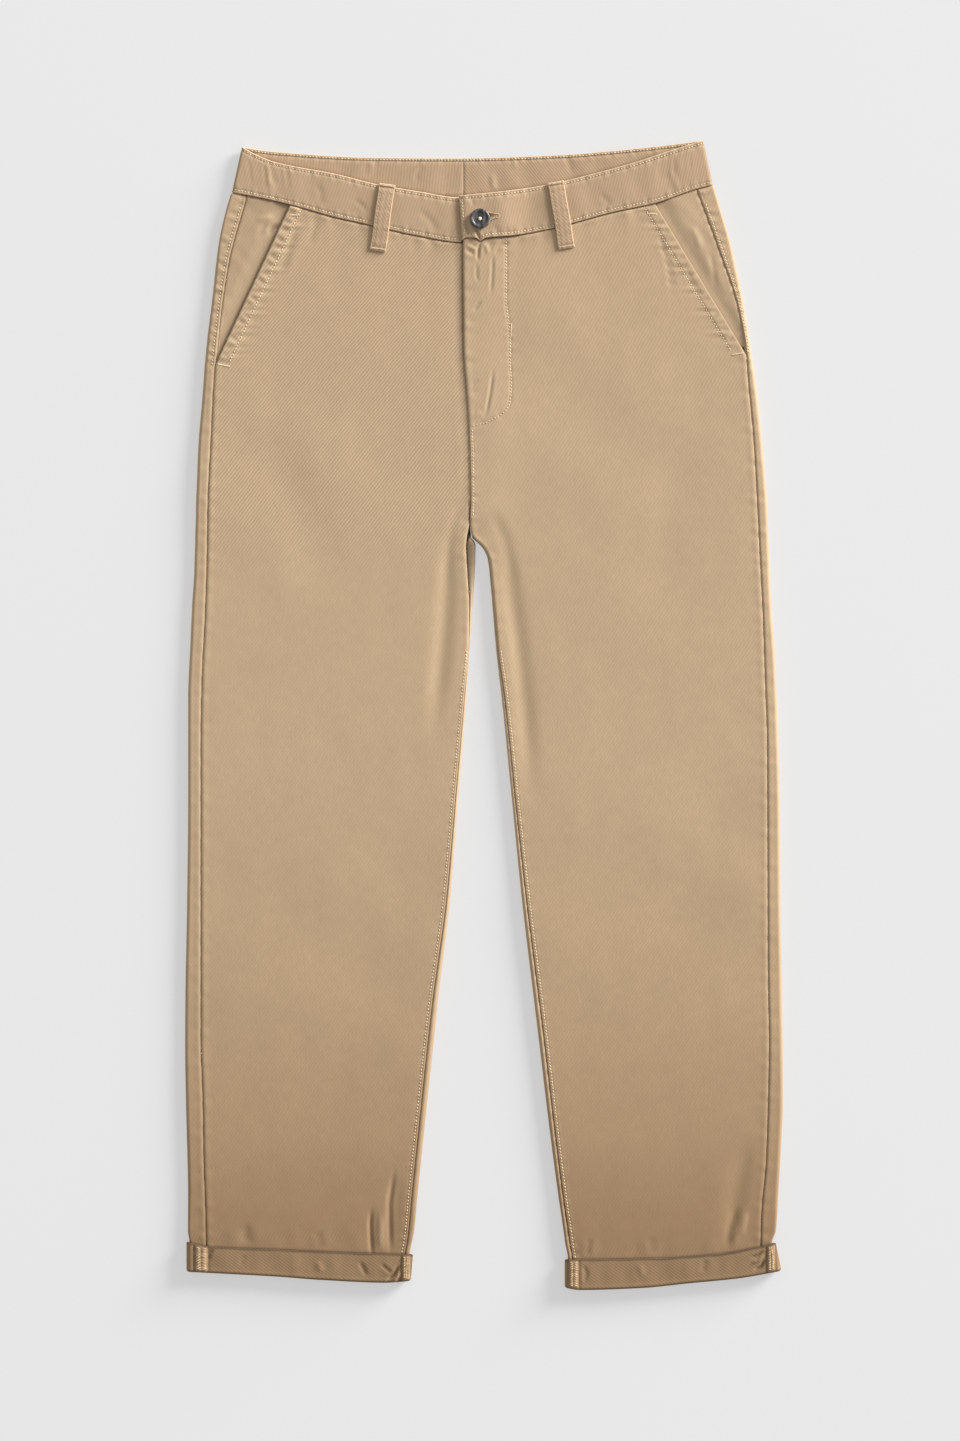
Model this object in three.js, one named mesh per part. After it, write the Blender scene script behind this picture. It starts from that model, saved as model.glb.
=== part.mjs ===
// Chino trousers laid flat with the front up. Each leg is a flattened tube of a front and a back
// panel; above the crotch both tubes are open towards the centre seams. The waistband runs round
// the side folds, the pockets open on a slant, and the hems are turned up once.
// Lengths are in millimetres. X runs to the right across the front as it is seen, Y from the hems
// to the waist and Z up. The origin is on the table under the middle of the outline.
import * as THREE from "three";

// Cloth
const CLOTH = 1.2; // twill, one layer
const BAND_CLOTH = 2.0; // waistband, folded over its stiffener
const LOOP_CLOTH = 1.4; // belt loop, folded in three
const CUFF_CLOTH = 2.4; // turned-up hem
const SEAM_GAP = 0.3; // between two pieces that are sewn together
const WAIST_GAP = 0.5; // between the panels and the waistband

// Heights over the table
const FACE = 5.8; // face of the front panels
const BAND_RAISE = 1.7; // the underside is this high where the back belt loops lie under it
const BAND_PROUD = 0.6; // the waistband stands out over the panels
const HEM_RAISE = CUFF_CLOTH + SEAM_GAP; // the leg's underside inside the turned-up hem
const HEM_FACE = 6.3; // the leg's face inside the turned-up hem

// Centre front
const LAP_LIFT = 0.9; // the left front lies this much higher along the fly
const LAP_DIP = 0.7; // and the right front this much lower under it
const BAND_LAP_LIFT = 2.0; // the waistband's left end lies on the right one
const BAND_LAP_DIP = 0.3;
const BAND_UNDERLAP_END = 12; // X where the waistband's right end stops under the left one
const CENTRE_BACK = -18.6; // X of the centre back seam at the waist

// Button
const BUTTON_RADIUS = 9.15;
const BUTTON_THICK = 3.0;
const BUTTON_BEVEL = 0.6;
const BUTTON_AT = [-3.6, 446];

// Belt loops
const LOOP_WIDTH = 14.6;
const LOOP_LENGTH = 61;

const lerp = (a, b, t) => a + (b - a) * t;
const clamp01 = (t) => Math.min(1, Math.max(0, t));

// Rises from 0 at a to 1 at b with level ends.
function smooth(a, b, x) {
  const t = clamp01((x - a) / (b - a));
  return t * t * (3 - 2 * t);
}

// A smooth curve through points [position, value] that never swings past them.
function curve(points) {
  const last = points.length - 1;
  const slope = (i) =>
    (points[i + 1][1] - points[i][1]) / (points[i + 1][0] - points[i][0]);
  const tangent = points.map((_, i) => {
    if (i === 0) return slope(0);
    if (i === last) return slope(last - 1);
    const before = slope(i - 1);
    const after = slope(i);
    return before * after <= 0 ? 0 : (2 * before * after) / (before + after);
  });
  return (x) => {
    let i = 0;
    while (i < last - 1 && x > points[i + 1][0]) i += 1;
    const [x0, v0] = points[i];
    const [x1, v1] = points[i + 1];
    const h = x1 - x0;
    const t = clamp01((x - x0) / h);
    const s = 1 - t;
    return (
      v0 * s * s * (1 + 2 * t) +
      v1 * t * t * (3 - 2 * t) +
      h * t * s * (tangent[i] * s - tangent[i + 1] * t)
    );
  };
}

// One curve over Y for each named column of a table whose first column is Y.
function columns(names, rows) {
  const out = {};
  names.forEach((name, c) => {
    out[name] = curve(rows.map((row) => [row[0], row[c + 1]]));
  });
  return out;
}

// Outline of each leg. outer: side fold; inner: inseam fold, or above the crotch the line that the
// front is folded from; front: the front panel's edge at the centre front and along the inseam.
const RIGHT_OUTLINE = columns(["outer", "inner", "front"], [
  // y, outer, inner, front
  [-513, -264.8, -68.9, -73.4],
  [-484.5, -264.8, -67.0, -71.4],
  [-474.5, -265.0, -65.0, -69.6],
  [-464, -266.4, -63.0, -68.2],
  [-436.5, -266.4, -60.3, -65.7],
  [-346.5, -268.4, -51.0, -56.4],
  [-300, -269.1, -45.9, -51.5],
  [-256.5, -268.9, -41.4, -46.5],
  [-166.5, -267.3, -30.6, -34.2],
  [-76.5, -266.4, -23.4, -26.1],
  [13.5, -266.4, -16.2, -18.0],
  [67.5, -264.2, -12.6, -13.4],
  [99, -262.8, -10.2, -13.4],
  [126, -261.0, -8.4, -14.8],
  [145.8, -260.4, -7.7, -16.0],
  [153, -260.1, -7.6, -16.2],
  [156.6, -260.0, -10.8, -15.9],
  [160.2, -260.0, -12.3, -15.5],
  [166.5, -259.8, -10.8, -14.1],
  [172.8, -259.6, -9.9, -13.1],
  [186.3, -259.4, -8.0, -12.5],
  [193.5, -259.2, -5.9, -10.8],
  [212, -258.4, -4.2, -7.7],
  [238.5, -257.4, -3.3, -6.3],
  [283.5, -253.8, -3.9, -6.9],
  [328.5, -250.2, -6.3, -9.3],
  [373.5, -244.8, -6.3, -9.3],
  [423, -239.0, -6.3, -9.3],
  [454.5, -232.2, -6.3, -9.3],
  [477, -225.0, -6.3, -9.3],
]);
const LEFT_OUTLINE = columns(["outer", "inner", "front"], [
  // y, outer, inner, front
  [-513, 264.3, 75.6, 79.9],
  [-500, 264.0, 75.6, 79.9],
  [-490, 262.2, 75.6, 79.6],
  [-474.5, 259.4, 73.0, 77.2],
  [-464, 262.7, 71.6, 75.8],
  [-436.5, 264.6, 67.5, 71.8],
  [-391.5, 267.3, 61.4, 66.0],
  [-346.5, 269.1, 55.8, 60.6],
  [-300, 268.9, 50.3, 55.2],
  [-256.5, 268.2, 45.0, 49.8],
  [-166.5, 266.9, 34.2, 38.4],
  [-76.5, 266.2, 25.2, 28.4],
  [13.5, 263.7, 16.2, 18.9],
  [58.5, 261.5, 11.0, 12.6],
  [103.5, 258.4, 7.2, 8.1],
  [121.5, 257.6, 5.6, 6.3],
  [139.5, 257.0, 3.6, 4.3],
  [148.5, 256.6, 0.0, 0.6],
  [154.8, 256.4, -5.4, -4.5],
  [159.3, 256.2, -10.8, -9.7],
  [162.9, 256.0, -13.7, -11.7],
  [166.5, 255.9, -15.3, -12.4],
  [172.8, 255.7, -15.6, -12.6],
  [193.5, 254.7, -14.9, -11.9],
  [238.5, 251.1, -15.6, -12.6],
  [283.5, 246.6, -17.8, -14.8],
  [328.5, 240.3, -21.0, -18.0],
  [373.5, 233.1, -21.5, -18.5],
  [423, 222.3, -21.9, -18.9],
  [454.5, 213.3, -22.5, -19.5],
  [477, 206.6, -22.8, -19.8],
]);

// Centre back seam below the waist
const SEAT_SEAM = curve([
  [156, -10.0],
  [162, -11.6],
  [166.5, -12.2],
  [173, -12.4],
  [189, -11.6],
  [212, -11.5],
  [240, -12.3],
  [283.5, -14.4],
  [328.5, -17.2],
  [365, CENTRE_BACK],
]);

// Outseam, where the front panel ends and the back panel begins
const RIGHT_OUTSEAM = curve([
  [-513, -249.3],
  [-454.5, -250.2],
  [-400, -252.0],
  [-346.5, -252.9],
  [-292.5, -254.7],
  [-22.5, -254.7],
  [31.5, -253.8],
  [85.5, -251.1],
  [139.5, -249.3],
  [193.5, -248.4],
  [247.5, -245.7],
  [301.5, -243.0],
  [355.5, -237.6],
  [409.5, -229.5],
  [464, -214.5],
]);
const LEFT_OUTSEAM = curve([
  [-513, 248.4],
  [-454.5, 249.3],
  [-400, 253.8],
  [-346.5, 255.6],
  [-292.5, 256.5],
  [-238.5, 255.6],
  [-22.5, 254.7],
  [31.5, 252.9],
  [85.5, 251.1],
  [139.5, 248.4],
  [193.5, 245.7],
  [247.5, 242.6],
  [301.5, 237.6],
  [326.7, 235.8],
  [367.2, 228.6],
  [422, 210.6],
  [471, 192.4],
]);

// Edges of the waistband, from left to right
const RIGHT_BAND_LOWER = curve([
  [-227, 470.2],
  [-191.6, 463.3],
  [-164.3, 456.5],
  [-137, 448.7],
  [-100.9, 440.5],
  [-59, 431.1],
  [-21.2, 425.4],
  [-19.6, 427.7],
  [12, 431],
]);
const RIGHT_BAND_UPPER = curve([
  [-218, 511.4],
  [-205.3, 504.3],
  [-187.7, 497.4],
  [-133.1, 486.7],
  [-98, 477.9],
  [-59, 471.1],
  [-22.9, 465.8],
  [12, 468.4],
]);
const LEFT_BAND_LOWER = curve([
  [-19.5, 427.2],
  [24.8, 431.1],
  [61.8, 437.9],
  [116.6, 452.5],
  [153.6, 460.4],
  [190.7, 473],
  [206.3, 477],
]);
const LEFT_BAND_UPPER = curve([
  [-22.4, 467.2],
  [9.2, 470.2],
  [56, 477],
  [97, 486.7],
  [136, 497.4],
  [165.3, 507.2],
  [197.5, 517.2],
]);
const BACK_BAND_LOWER = curve([
  [-227, 470.2],
  [-120, 466],
  [CENTRE_BACK, 464.5],
  [90, 467.5],
  [206.3, 477],
]);
const BACK_BAND_UPPER = curve([
  [-218, 511.4],
  [-187.7, 507.2],
  [-98, 501.9],
  [-23.9, 501.4],
  [67.8, 504.3],
  [116.6, 508.1],
  [155.5, 512.1],
  [197.5, 517.2],
]);

// Edges of the turned-up hems
const RIGHT_CUFF_UPPER = curve([
  [-267.8, -473.6],
  [-246.8, -478.2],
  [-178.2, -481.1],
  [-133.4, -483.2],
  [-63.9, -485.4],
]);
const RIGHT_CUFF_LOWER = curve([
  [-267.8, -500.8],
  [-242.3, -502.1],
  [-187.1, -505.1],
  [-148.3, -508],
  [-88.6, -510.6],
  [-65.7, -509],
]);
const LEFT_CUFF_UPPER = curve([
  [72.6, -489.9],
  [154.9, -488.7],
  [211.6, -484.9],
  [244.4, -479],
  [262.8, -474.9],
]);
const LEFT_CUFF_LOWER = curve([
  [72.6, -515.2],
  [86.2, -517.2],
  [140, -515.5],
  [184.8, -511.1],
  [229.5, -506.6],
  [267.4, -500],
]);

// Main folds of the top layer: a soft trough (rise under 0) or ridge along a line.
const FOLDS = [
  // from, to, bow sideways at the middle, half width, rise
  { from: [-31, 178], to: [-48, -30], bow: 3, width: 7.5, rise: -1.3 },
  { from: [-20.5, 160], to: [-31, 0], bow: 3, width: 6, rise: 0.45 },
  { from: [15, 166], to: [42, -90], bow: 5, width: 8, rise: -1.3 },
  { from: [9, 140], to: [27, 0], bow: 3, width: 5.5, rise: 0.45 },
  { from: [238, -375], to: [217, -484], bow: 0, width: 9, rise: -0.9 },
  { from: [-79, -410], to: [-86, -484], bow: 0, width: 7, rise: -0.7 },
  { from: [-101, -440], to: [-100, -488], bow: 0, width: 5, rise: -0.5 },
  { from: [-200, 270], to: [-140, 90], bow: 6, width: 22, rise: -0.5 },
  { from: [190, 270], to: [150, 60], bow: -6, width: 22, rise: -0.5 },
];

// Height added to the top layer by the folds.
function relief(x, y) {
  let height = 0;
  for (const { from, to, bow, width, rise } of FOLDS) {
    const t = (y - from[1]) / (to[1] - from[1]);
    if (t <= 0 || t >= 1) continue;
    const along = smooth(0, 0.3, t) * (1 - smooth(0.65, 1, t));
    const across = (x - lerp(from[0], to[0], t) - bow * 4 * t * (1 - t)) / width;
    height += rise * along * Math.exp(-across * across);
  }
  return height;
}

// Height of the underside over the table, and of the face, at a place along the leg.
const underside = (y) =>
  BAND_RAISE * smooth(398, 436, y) + HEM_RAISE * (1 - smooth(-466, -425, y));
const face = (y) => lerp(FACE, HEM_FACE, 1 - smooth(-466, -425, y));

// The left front is lifted along the fly and the right one pressed down under it.
const lapping = (y) => smooth(160, 186, y);
const leftLift = (x, y) =>
  LAP_LIFT * lapping(y) * (1 - smooth(14, 50, x - LEFT_OUTLINE.front(y)));
const rightLift = (x, y) =>
  -LAP_DIP * lapping(y) * smooth(-12, -1.5, x - LEFT_OUTLINE.front(y));

// side: +1 where the leg's outer side is towards +X. closing: Y range over which the back panel
// turns from the centre back seam round the inseam fold.
const RIGHT_LEG = {
  side: -1,
  outline: RIGHT_OUTLINE,
  outseam: RIGHT_OUTSEAM,
  slant: curve([[315.4, -241.8], [458, -175], [480, -164.7]]),
  pocketEnd: 318.5,
  waist: (x) => RIGHT_BAND_LOWER(Math.min(x, -21.2)),
  cuffLower: RIGHT_CUFF_LOWER,
  lift: rightLift,
  closing: [166.5, 154.8],
};
const LEFT_LEG = {
  side: 1,
  outline: LEFT_OUTLINE,
  outseam: LEFT_OUTSEAM,
  slant: curve([[325.8, 234.9], [459.7, 154.2], [480, 142.0]]),
  pocketEnd: 329,
  waist: LEFT_BAND_LOWER,
  cuffLower: LEFT_CUFF_LOWER,
  lift: leftLift,
  closing: [160.3, 149.5],
};

// A flattened tube of given width and fold radius, walked from its inner fold over the top to the
// outer fold and back along the bottom. Returns the distance from the inner side and the height.
function tube(width, radius, arc) {
  const quarter = (Math.PI * radius) / 2;
  const flat = width - 2 * radius;
  const round = 4 * quarter + 2 * flat;
  let a = ((arc % round) + round) % round;
  if (a <= quarter) {
    const angle = a / radius;
    return [radius * (1 - Math.cos(angle)), radius * (1 + Math.sin(angle))];
  }
  a -= quarter;
  if (a <= flat) return [radius + a, 2 * radius];
  a -= flat;
  if (a <= 2 * quarter) {
    const angle = a / radius;
    return [
      width - radius + radius * Math.sin(angle),
      radius * (1 + Math.cos(angle)),
    ];
  }
  a -= 2 * quarter;
  if (a <= flat) return [width - radius - a, 0];
  const angle = (a - flat) / radius;
  return [radius * (1 - Math.sin(angle)), radius * (1 - Math.cos(angle))];
}

// Width, fold radius and the lengths round the tube of a leg at a height.
function section(leg, y) {
  const width = Math.abs(leg.outline.outer(y) - leg.outline.inner(y));
  const radius = (face(y) - underside(y)) / 2;
  const quarter = (Math.PI * radius) / 2;
  const flat = width - 2 * radius;
  return { width, radius, quarter, flat, round: 4 * quarter + 2 * flat };
}

// Length round the tube from the inner fold to the place on top that lies at x.
function arcOnTop(leg, y, x) {
  const { radius, quarter } = section(leg, y);
  const d = Math.max(0, leg.side * (x - leg.outline.inner(y)));
  if (d < radius) return radius * Math.acos(1 - d / radius);
  return quarter + d - radius;
}

// A point of a leg's outer face.
function legPoint(leg, arc, y) {
  const { width, radius } = section(leg, y);
  const [d, h] = tube(width, radius, arc);
  const x = leg.outline.inner(y) + leg.side * d;
  const onTop = Math.max(0, h / radius - 1);
  const z = underside(y) + h + onTop * (relief(x, y) + leg.lift(x, y));
  return new THREE.Vector3(x, y, z);
}

// The point under a face's point at (u, v), a cloth's thickness further in.
function inward(surface, u, v, thickness, side) {
  const e = 0.05;
  const along = surface(u + e, v).sub(surface(u - e, v));
  const across = surface(u, v + e).sub(surface(u, v - e));
  const normal = along.cross(across).normalize();
  return surface(u, v).addScaledVector(normal, -side * thickness);
}

// Rows of a panel, as heights along the leg. The first follows the waistband, the last the hem.
const ROWS = [
  470, 452, 434, 414, 392, 368, 345, 326, 312, 290, 262, 234, 212, 196, 186,
  177, 170, 165.5, 162, 159, 156, 152.5, 148, 141, 130, 114, 97, 82, 66, 36, -6,
  -60, -125, -195, -265, -330, -385, -425, -447, -462, -475, -488, -505,
];

// Height of a row where it passes x, on the top layer or on the bottom one.
function rowHeight(leg, row, x, onTop) {
  const waist = onTop ? leg.waist(x) : BACK_BAND_LOWER(x);
  const top = (waist - WAIST_GAP - ROWS[0]) * clamp01((row - 300) / (ROWS[0] - 300));
  const end = ROWS[ROWS.length - 1];
  const hem = leg.cuffLower(x) + 3.8 - end;
  return row + top + hem * clamp01((-440 - row) / (-440 - end));
}

// Grid of a panel's outer and inner points. arcs gives the lengths round the tube at a height.
function panelGrid(leg, rows, arcs) {
  const outer = [];
  const inner = [];
  for (const row of rows) {
    const count = arcs(row).length;
    const face0 = [];
    const face1 = [];
    for (let k = 0; k < count; k += 1) {
      let y = row;
      let arc = arcs(y)[k];
      for (let pass = 0; pass < 4; pass += 1) {
        const at = legPoint(leg, arc, y);
        const { quarter, flat } = section(leg, y);
        y = rowHeight(leg, row, at.x, arc < 2 * quarter + flat);
        arc = arcs(y)[k];
      }
      const surface = (a, v) => legPoint(leg, a, v);
      face0.push(surface(arc, y));
      face1.push(inward(surface, arc, y, CLOTH, leg.side));
    }
    outer.push(face0);
    inner.push(face1);
  }
  return [outer, inner];
}

// Splits the spans between knots into equal steps.
function subdivide(knots, counts) {
  const out = [knots[0]];
  counts.forEach((count, i) => {
    for (let k = 1; k <= count; k += 1) {
      out.push(lerp(knots[i], knots[i + 1], k / count));
    }
  });
  return out;
}

// Front panel: from the centre front or the inseam to the pocket opening or the outseam.
const FRONT_STEPS = [
  0, 0.024, 0.05, 0.08, 0.112, 0.15, 0.2, 0.28, 0.4, 0.52, 0.64, 0.76, 0.88, 1,
];
function frontArcs(leg) {
  return (y) => {
    const seam = leg.outseam(y);
    const slant = leg.slant(y);
    const edge = y > leg.pocketEnd - 4 && leg.side * (seam - slant) > 0 ? slant : seam;
    const start = arcOnTop(leg, y, leg.outline.front(y));
    const end = arcOnTop(leg, y, edge) - SEAM_GAP / 2;
    return FRONT_STEPS.map((t) => lerp(start, end, t));
  };
}

// Back panel: from the outseam round the side fold and the underside, to the centre back seam
// or, below the crotch, on round the inseam fold to the front panel.
function backArcs(leg) {
  return (y) => {
    const { radius, quarter, flat, round } = section(leg, y);
    const fold = quarter + flat;
    const under = fold + 2 * quarter;
    let seat = SEAT_SEAM(y) + (leg.side * SEAM_GAP) / 2;
    if (leg.side > 0 && y < 166.5) {
      seat = Math.max(seat, RIGHT_OUTLINE.inner(y) + SEAM_GAP);
    }
    const start = arcOnTop(leg, y, leg.outseam(y)) + SEAM_GAP / 2;
    const open = round - arcOnTop(leg, y, seat);
    const closed = round + arcOnTop(leg, y, leg.outline.front(y)) - 1.3 * SEAM_GAP;
    const turn = 1 - smooth(leg.closing[1], leg.closing[0], y);
    const ends = [
      [open - 14, round - quarter],
      [open - 9, round - quarter / 2],
      [open - 4, round],
      [open, closed],
    ].map(([above, below]) => lerp(above, below, turn));
    return subdivide([start, fold, fold + quarter, under, ...ends], [2, 2, 2, 6, 2, 2, 2]);
  };
}

// A closed solid between two grids of the same size.
function shell(outer, inner) {
  const rows = outer.length;
  const cols = outer[0].length;
  const points = [...outer.flat(), ...inner.flat()];
  const at = (layer, j, k) => layer * rows * cols + j * cols + k;
  const index = [];
  const quad = (a, b, c, d) => index.push(a, b, c, a, c, d);
  for (let j = 0; j + 1 < rows; j += 1) {
    for (let k = 0; k + 1 < cols; k += 1) {
      quad(at(0, j, k), at(0, j, k + 1), at(0, j + 1, k + 1), at(0, j + 1, k));
      quad(at(1, j, k), at(1, j + 1, k), at(1, j + 1, k + 1), at(1, j, k + 1));
    }
    quad(at(0, j + 1, 0), at(1, j + 1, 0), at(1, j, 0), at(0, j, 0));
    quad(
      at(0, j, cols - 1),
      at(1, j, cols - 1),
      at(1, j + 1, cols - 1),
      at(0, j + 1, cols - 1),
    );
  }
  for (let k = 0; k + 1 < cols; k += 1) {
    quad(at(0, 0, k), at(1, 0, k), at(1, 0, k + 1), at(0, 0, k + 1));
    quad(
      at(0, rows - 1, k + 1),
      at(1, rows - 1, k + 1),
      at(1, rows - 1, k),
      at(0, rows - 1, k),
    );
  }
  return facingOut(points, index);
}

// Indexed geometry with its faces turned outwards.
function facingOut(points, index) {
  let volume = 0;
  for (let i = 0; i < index.length; i += 3) {
    const [a, b, c] = [points[index[i]], points[index[i + 1]], points[index[i + 2]]];
    volume += a.dot(new THREE.Vector3().crossVectors(b, c));
  }
  if (volume < 0) index.reverse();
  const geometry = new THREE.BufferGeometry().setFromPoints(points);
  geometry.setIndex(index);
  geometry.computeVertexNormals();
  return geometry;
}

const frontPanel = (leg) => shell(...panelGrid(leg, ROWS, frontArcs(leg)));
const backPanel = (leg) => shell(...panelGrid(leg, ROWS, backArcs(leg)));

// Pocket facing: lies under the front panel along the opening and rises towards the outseam.
const FACING_UNDER = 12; // it runs this far under the front panel
const FACING_DEEP = CLOTH + SEAM_GAP; // its depth there
const FACING_SHALLOW = 0.4; // its depth at the outseam
function pocketFacing(leg) {
  const outer = [];
  const inner = [];
  const rows = ROWS.filter((row) => row > leg.pocketEnd + 5);
  rows.push(leg.pocketEnd + 1);
  for (const row of rows) {
    const face0 = [];
    const face1 = [];
    for (let k = 0; k <= 6; k += 1) {
      let x = leg.side * 200;
      let y = row;
      for (let pass = 0; pass < 4; pass += 1) {
        y = rowHeight(leg, row, x, true);
        const from = leg.slant(y) - leg.side * FACING_UNDER;
        const to = leg.outseam(y) - (leg.side * SEAM_GAP) / 2;
        x = lerp(from, to, k / 6);
      }
      const beyond = leg.side * (x - leg.slant(y));
      const depth = lerp(FACING_DEEP, FACING_SHALLOW, smooth(3, 18, beyond));
      const z = face(y) + relief(x, y) - depth;
      face0.push(new THREE.Vector3(x, y, z));
      face1.push(new THREE.Vector3(x, y, z - CLOTH));
    }
    outer.push(face0);
    inner.push(face1);
  }
  return shell(outer, inner);
}

// Half of the waistband: along the front, round the side fold and along the back to its seam.
// ends: X of the front end at the lower and the upper edge; folds: the same of the side fold.
const RIGHT_BAND = {
  side: -1,
  ends: [BAND_UNDERLAP_END, BAND_UNDERLAP_END],
  folds: [-227, -218],
  lower: RIGHT_BAND_LOWER,
  upper: RIGHT_BAND_UPPER,
  lift: (x) => -BAND_LAP_DIP * smooth(-36, -24.5, x),
};
const LEFT_BAND = {
  side: 1,
  ends: [-19.8, -22.6],
  folds: [206.3, 197.5],
  lower: LEFT_BAND_LOWER,
  upper: LEFT_BAND_UPPER,
  lift: (x) => BAND_LAP_LIFT * (1 - smooth(BAND_UNDERLAP_END + 1, 44, x)),
};
const BAND_FACE = FACE + BAND_PROUD;
const BAND_RADIUS = (BAND_FACE - BAND_RAISE) / 2;

// A point of the waistband's outer face: arc from its front end, t from lower to upper edge.
function bandPoint(band, arc, t) {
  const end = lerp(band.ends[0], band.ends[1], t);
  const fold = lerp(band.folds[0], band.folds[1], t);
  const front = band.side * (fold - end) - BAND_RADIUS;
  let x;
  let z;
  let back = 0;
  if (arc <= front) {
    x = end + band.side * arc;
    z = BAND_FACE + band.lift(x);
  } else if (arc <= front + Math.PI * BAND_RADIUS) {
    const angle = (arc - front) / BAND_RADIUS;
    x = fold - band.side * BAND_RADIUS * (1 - Math.sin(angle));
    z = BAND_RAISE + BAND_RADIUS * (1 + Math.cos(angle));
    back = smooth(0, Math.PI, angle);
  } else {
    x = fold - band.side * (arc - front - (Math.PI - 1) * BAND_RADIUS);
    z = BAND_RAISE;
    back = 1;
  }
  const lower = lerp(band.lower(x), BACK_BAND_LOWER(x), back);
  const upper = lerp(band.upper(x), BACK_BAND_UPPER(x), back);
  return new THREE.Vector3(x, lerp(lower, upper, t), z);
}

function waistband(band) {
  const outer = [];
  const inner = [];
  const surface = (arc, t) => bandPoint(band, arc, clamp01(t));
  for (const t of [0, 0.5, 1]) {
    const fold = lerp(band.folds[0], band.folds[1], t);
    const front =
      band.side * (fold - lerp(band.ends[0], band.ends[1], t)) - BAND_RADIUS;
    const bend = front + Math.PI * BAND_RADIUS;
    const back =
      band.side * (fold - CENTRE_BACK) - SEAM_GAP / 2 - BAND_RADIUS;
    const arcs = subdivide(
      [0, 31.5, 33.3, 75, front, bend, bend + back],
      [3, 1, 4, 6, 6, 9],
    );
    outer.push(arcs.map((arc) => surface(arc, t)));
    inner.push(
      arcs.map((arc) => inward(surface, arc, t, BAND_CLOTH, band.side)),
    );
  }
  return shell(outer, inner);
}

// Turned-up hem: a closed band round the leg's end whose lower edge turns in under it.
// ends: X of the inner and the outer side at the upper edge, then at the lower edge.
const RIGHT_CUFF = {
  side: -1,
  ends: [[-63.9, -267.8], [-65.7, -267.8]],
  upper: RIGHT_CUFF_UPPER,
  lower: RIGHT_CUFF_LOWER,
};
const LEFT_CUFF = {
  side: 1,
  ends: [[72.6, 262.8], [72.6, 267.4]],
  upper: LEFT_CUFF_UPPER,
  lower: LEFT_CUFF_LOWER,
};
const CUFF_RADIUS = (HEM_FACE - HEM_RAISE) / 2 + HEM_RAISE;

// Cross-section of the turned-up cloth: distance in from the face, and height over the lower edge
// or, where marked, under the upper edge.
const CUFF_SECTION = [
  { inset: 0.9, below: 0 },
  { inset: 0.1, below: 0.9 },
  { inset: 0, above: 2.2 },
  { inset: 0.7, above: 0.5 },
  { inset: 2.0, above: 0 },
  { inset: 3.3, above: 0.6 },
  { inset: 3.7, above: 2.4 },
  { inset: CUFF_CLOTH, above: 2.9 },
  { inset: CUFF_CLOTH, below: 0.6 },
];

function cuff(shape) {
  const loops = CUFF_SECTION.map(({ inset, above, below }) => {
    const t = below === undefined ? 1 : 0;
    const [from, to] = [0, 1].map((i) => lerp(shape.ends[0][i], shape.ends[1][i], t));
    const width = Math.abs(to - from) - 2 * inset;
    const radius = CUFF_RADIUS - inset;
    const quarter = (Math.PI * radius) / 2;
    const flat = width - 2 * radius;
    const knots = [0, quarter, quarter + flat, 2 * quarter + flat, 3 * quarter + flat];
    knots.push(3 * quarter + 2 * flat, 4 * quarter + 2 * flat);
    const arcs = subdivide(knots, [3, 12, 3, 3, 12, 3]).slice(0, -1);
    return arcs.map((arc) => {
      const [d, h] = tube(width, radius, arc);
      const x = from + shape.side * (d + inset);
      const y =
        below === undefined ? shape.lower(x) + above : shape.upper(x) - below;
      return new THREE.Vector3(x, y, h + inset);
    });
  });
  const count = loops[0].length;
  const index = [];
  loops.forEach((_, j) => {
    const next = ((j + 1) % loops.length) * count;
    for (let k = 0; k < count; k += 1) {
      const k1 = (k + 1) % count;
      const [a, b, c, d] = [j * count + k, j * count + k1, next + k1, next + k];
      index.push(a, b, c, a, c, d);
    }
  });
  return facingOut(loops.flat(), index);
}

// Belt loop: a strip between two points, given by the heights of its underside along it.
function beltLoop(top, bottom, heights) {
  const axis = new THREE.Vector3(bottom[0] - top[0], bottom[1] - top[1], 0);
  const across = new THREE.Vector3(-axis.y, axis.x, 0).normalize();
  const outer = [];
  const inner = [];
  heights.forEach(([t, z]) => {
    const centre = new THREE.Vector3(top[0], top[1], z).addScaledVector(axis, t);
    const face0 = [];
    const face1 = [];
    for (const [s, crown] of [[-1, 0.75], [-0.8, 1], [0.8, 1], [1, 0.75]]) {
      const low = centre.clone().addScaledVector(across, (s * LOOP_WIDTH) / 2);
      face1.push(low);
      face0.push(low.clone().setZ(z + LOOP_CLOTH * crown));
    }
    outer.push(face0);
    inner.push(face1);
  });
  return shell(outer, inner);
}
const ON_BAND = BAND_FACE + SEAM_GAP;
const ON_PANEL = FACE + SEAM_GAP;
const FRONT_LOOP = [
  [0, ON_BAND],
  [0.08, ON_BAND + 0.2],
  [0.35, ON_BAND + 0.5],
  [0.6, ON_BAND + 0.3],
  [0.7, ON_BAND],
  [0.85, ON_PANEL + 0.1],
  [1, ON_PANEL],
];
const BACK_LOOP = [
  [0, 0],
  [0.35, 0],
  [0.7, 0],
  [1, 0],
];
const backLoop = (x) =>
  beltLoop([x, BACK_BAND_UPPER(x) - 0.5], [x, BACK_BAND_UPPER(x) - 0.5 - LOOP_LENGTH], BACK_LOOP);

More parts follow.
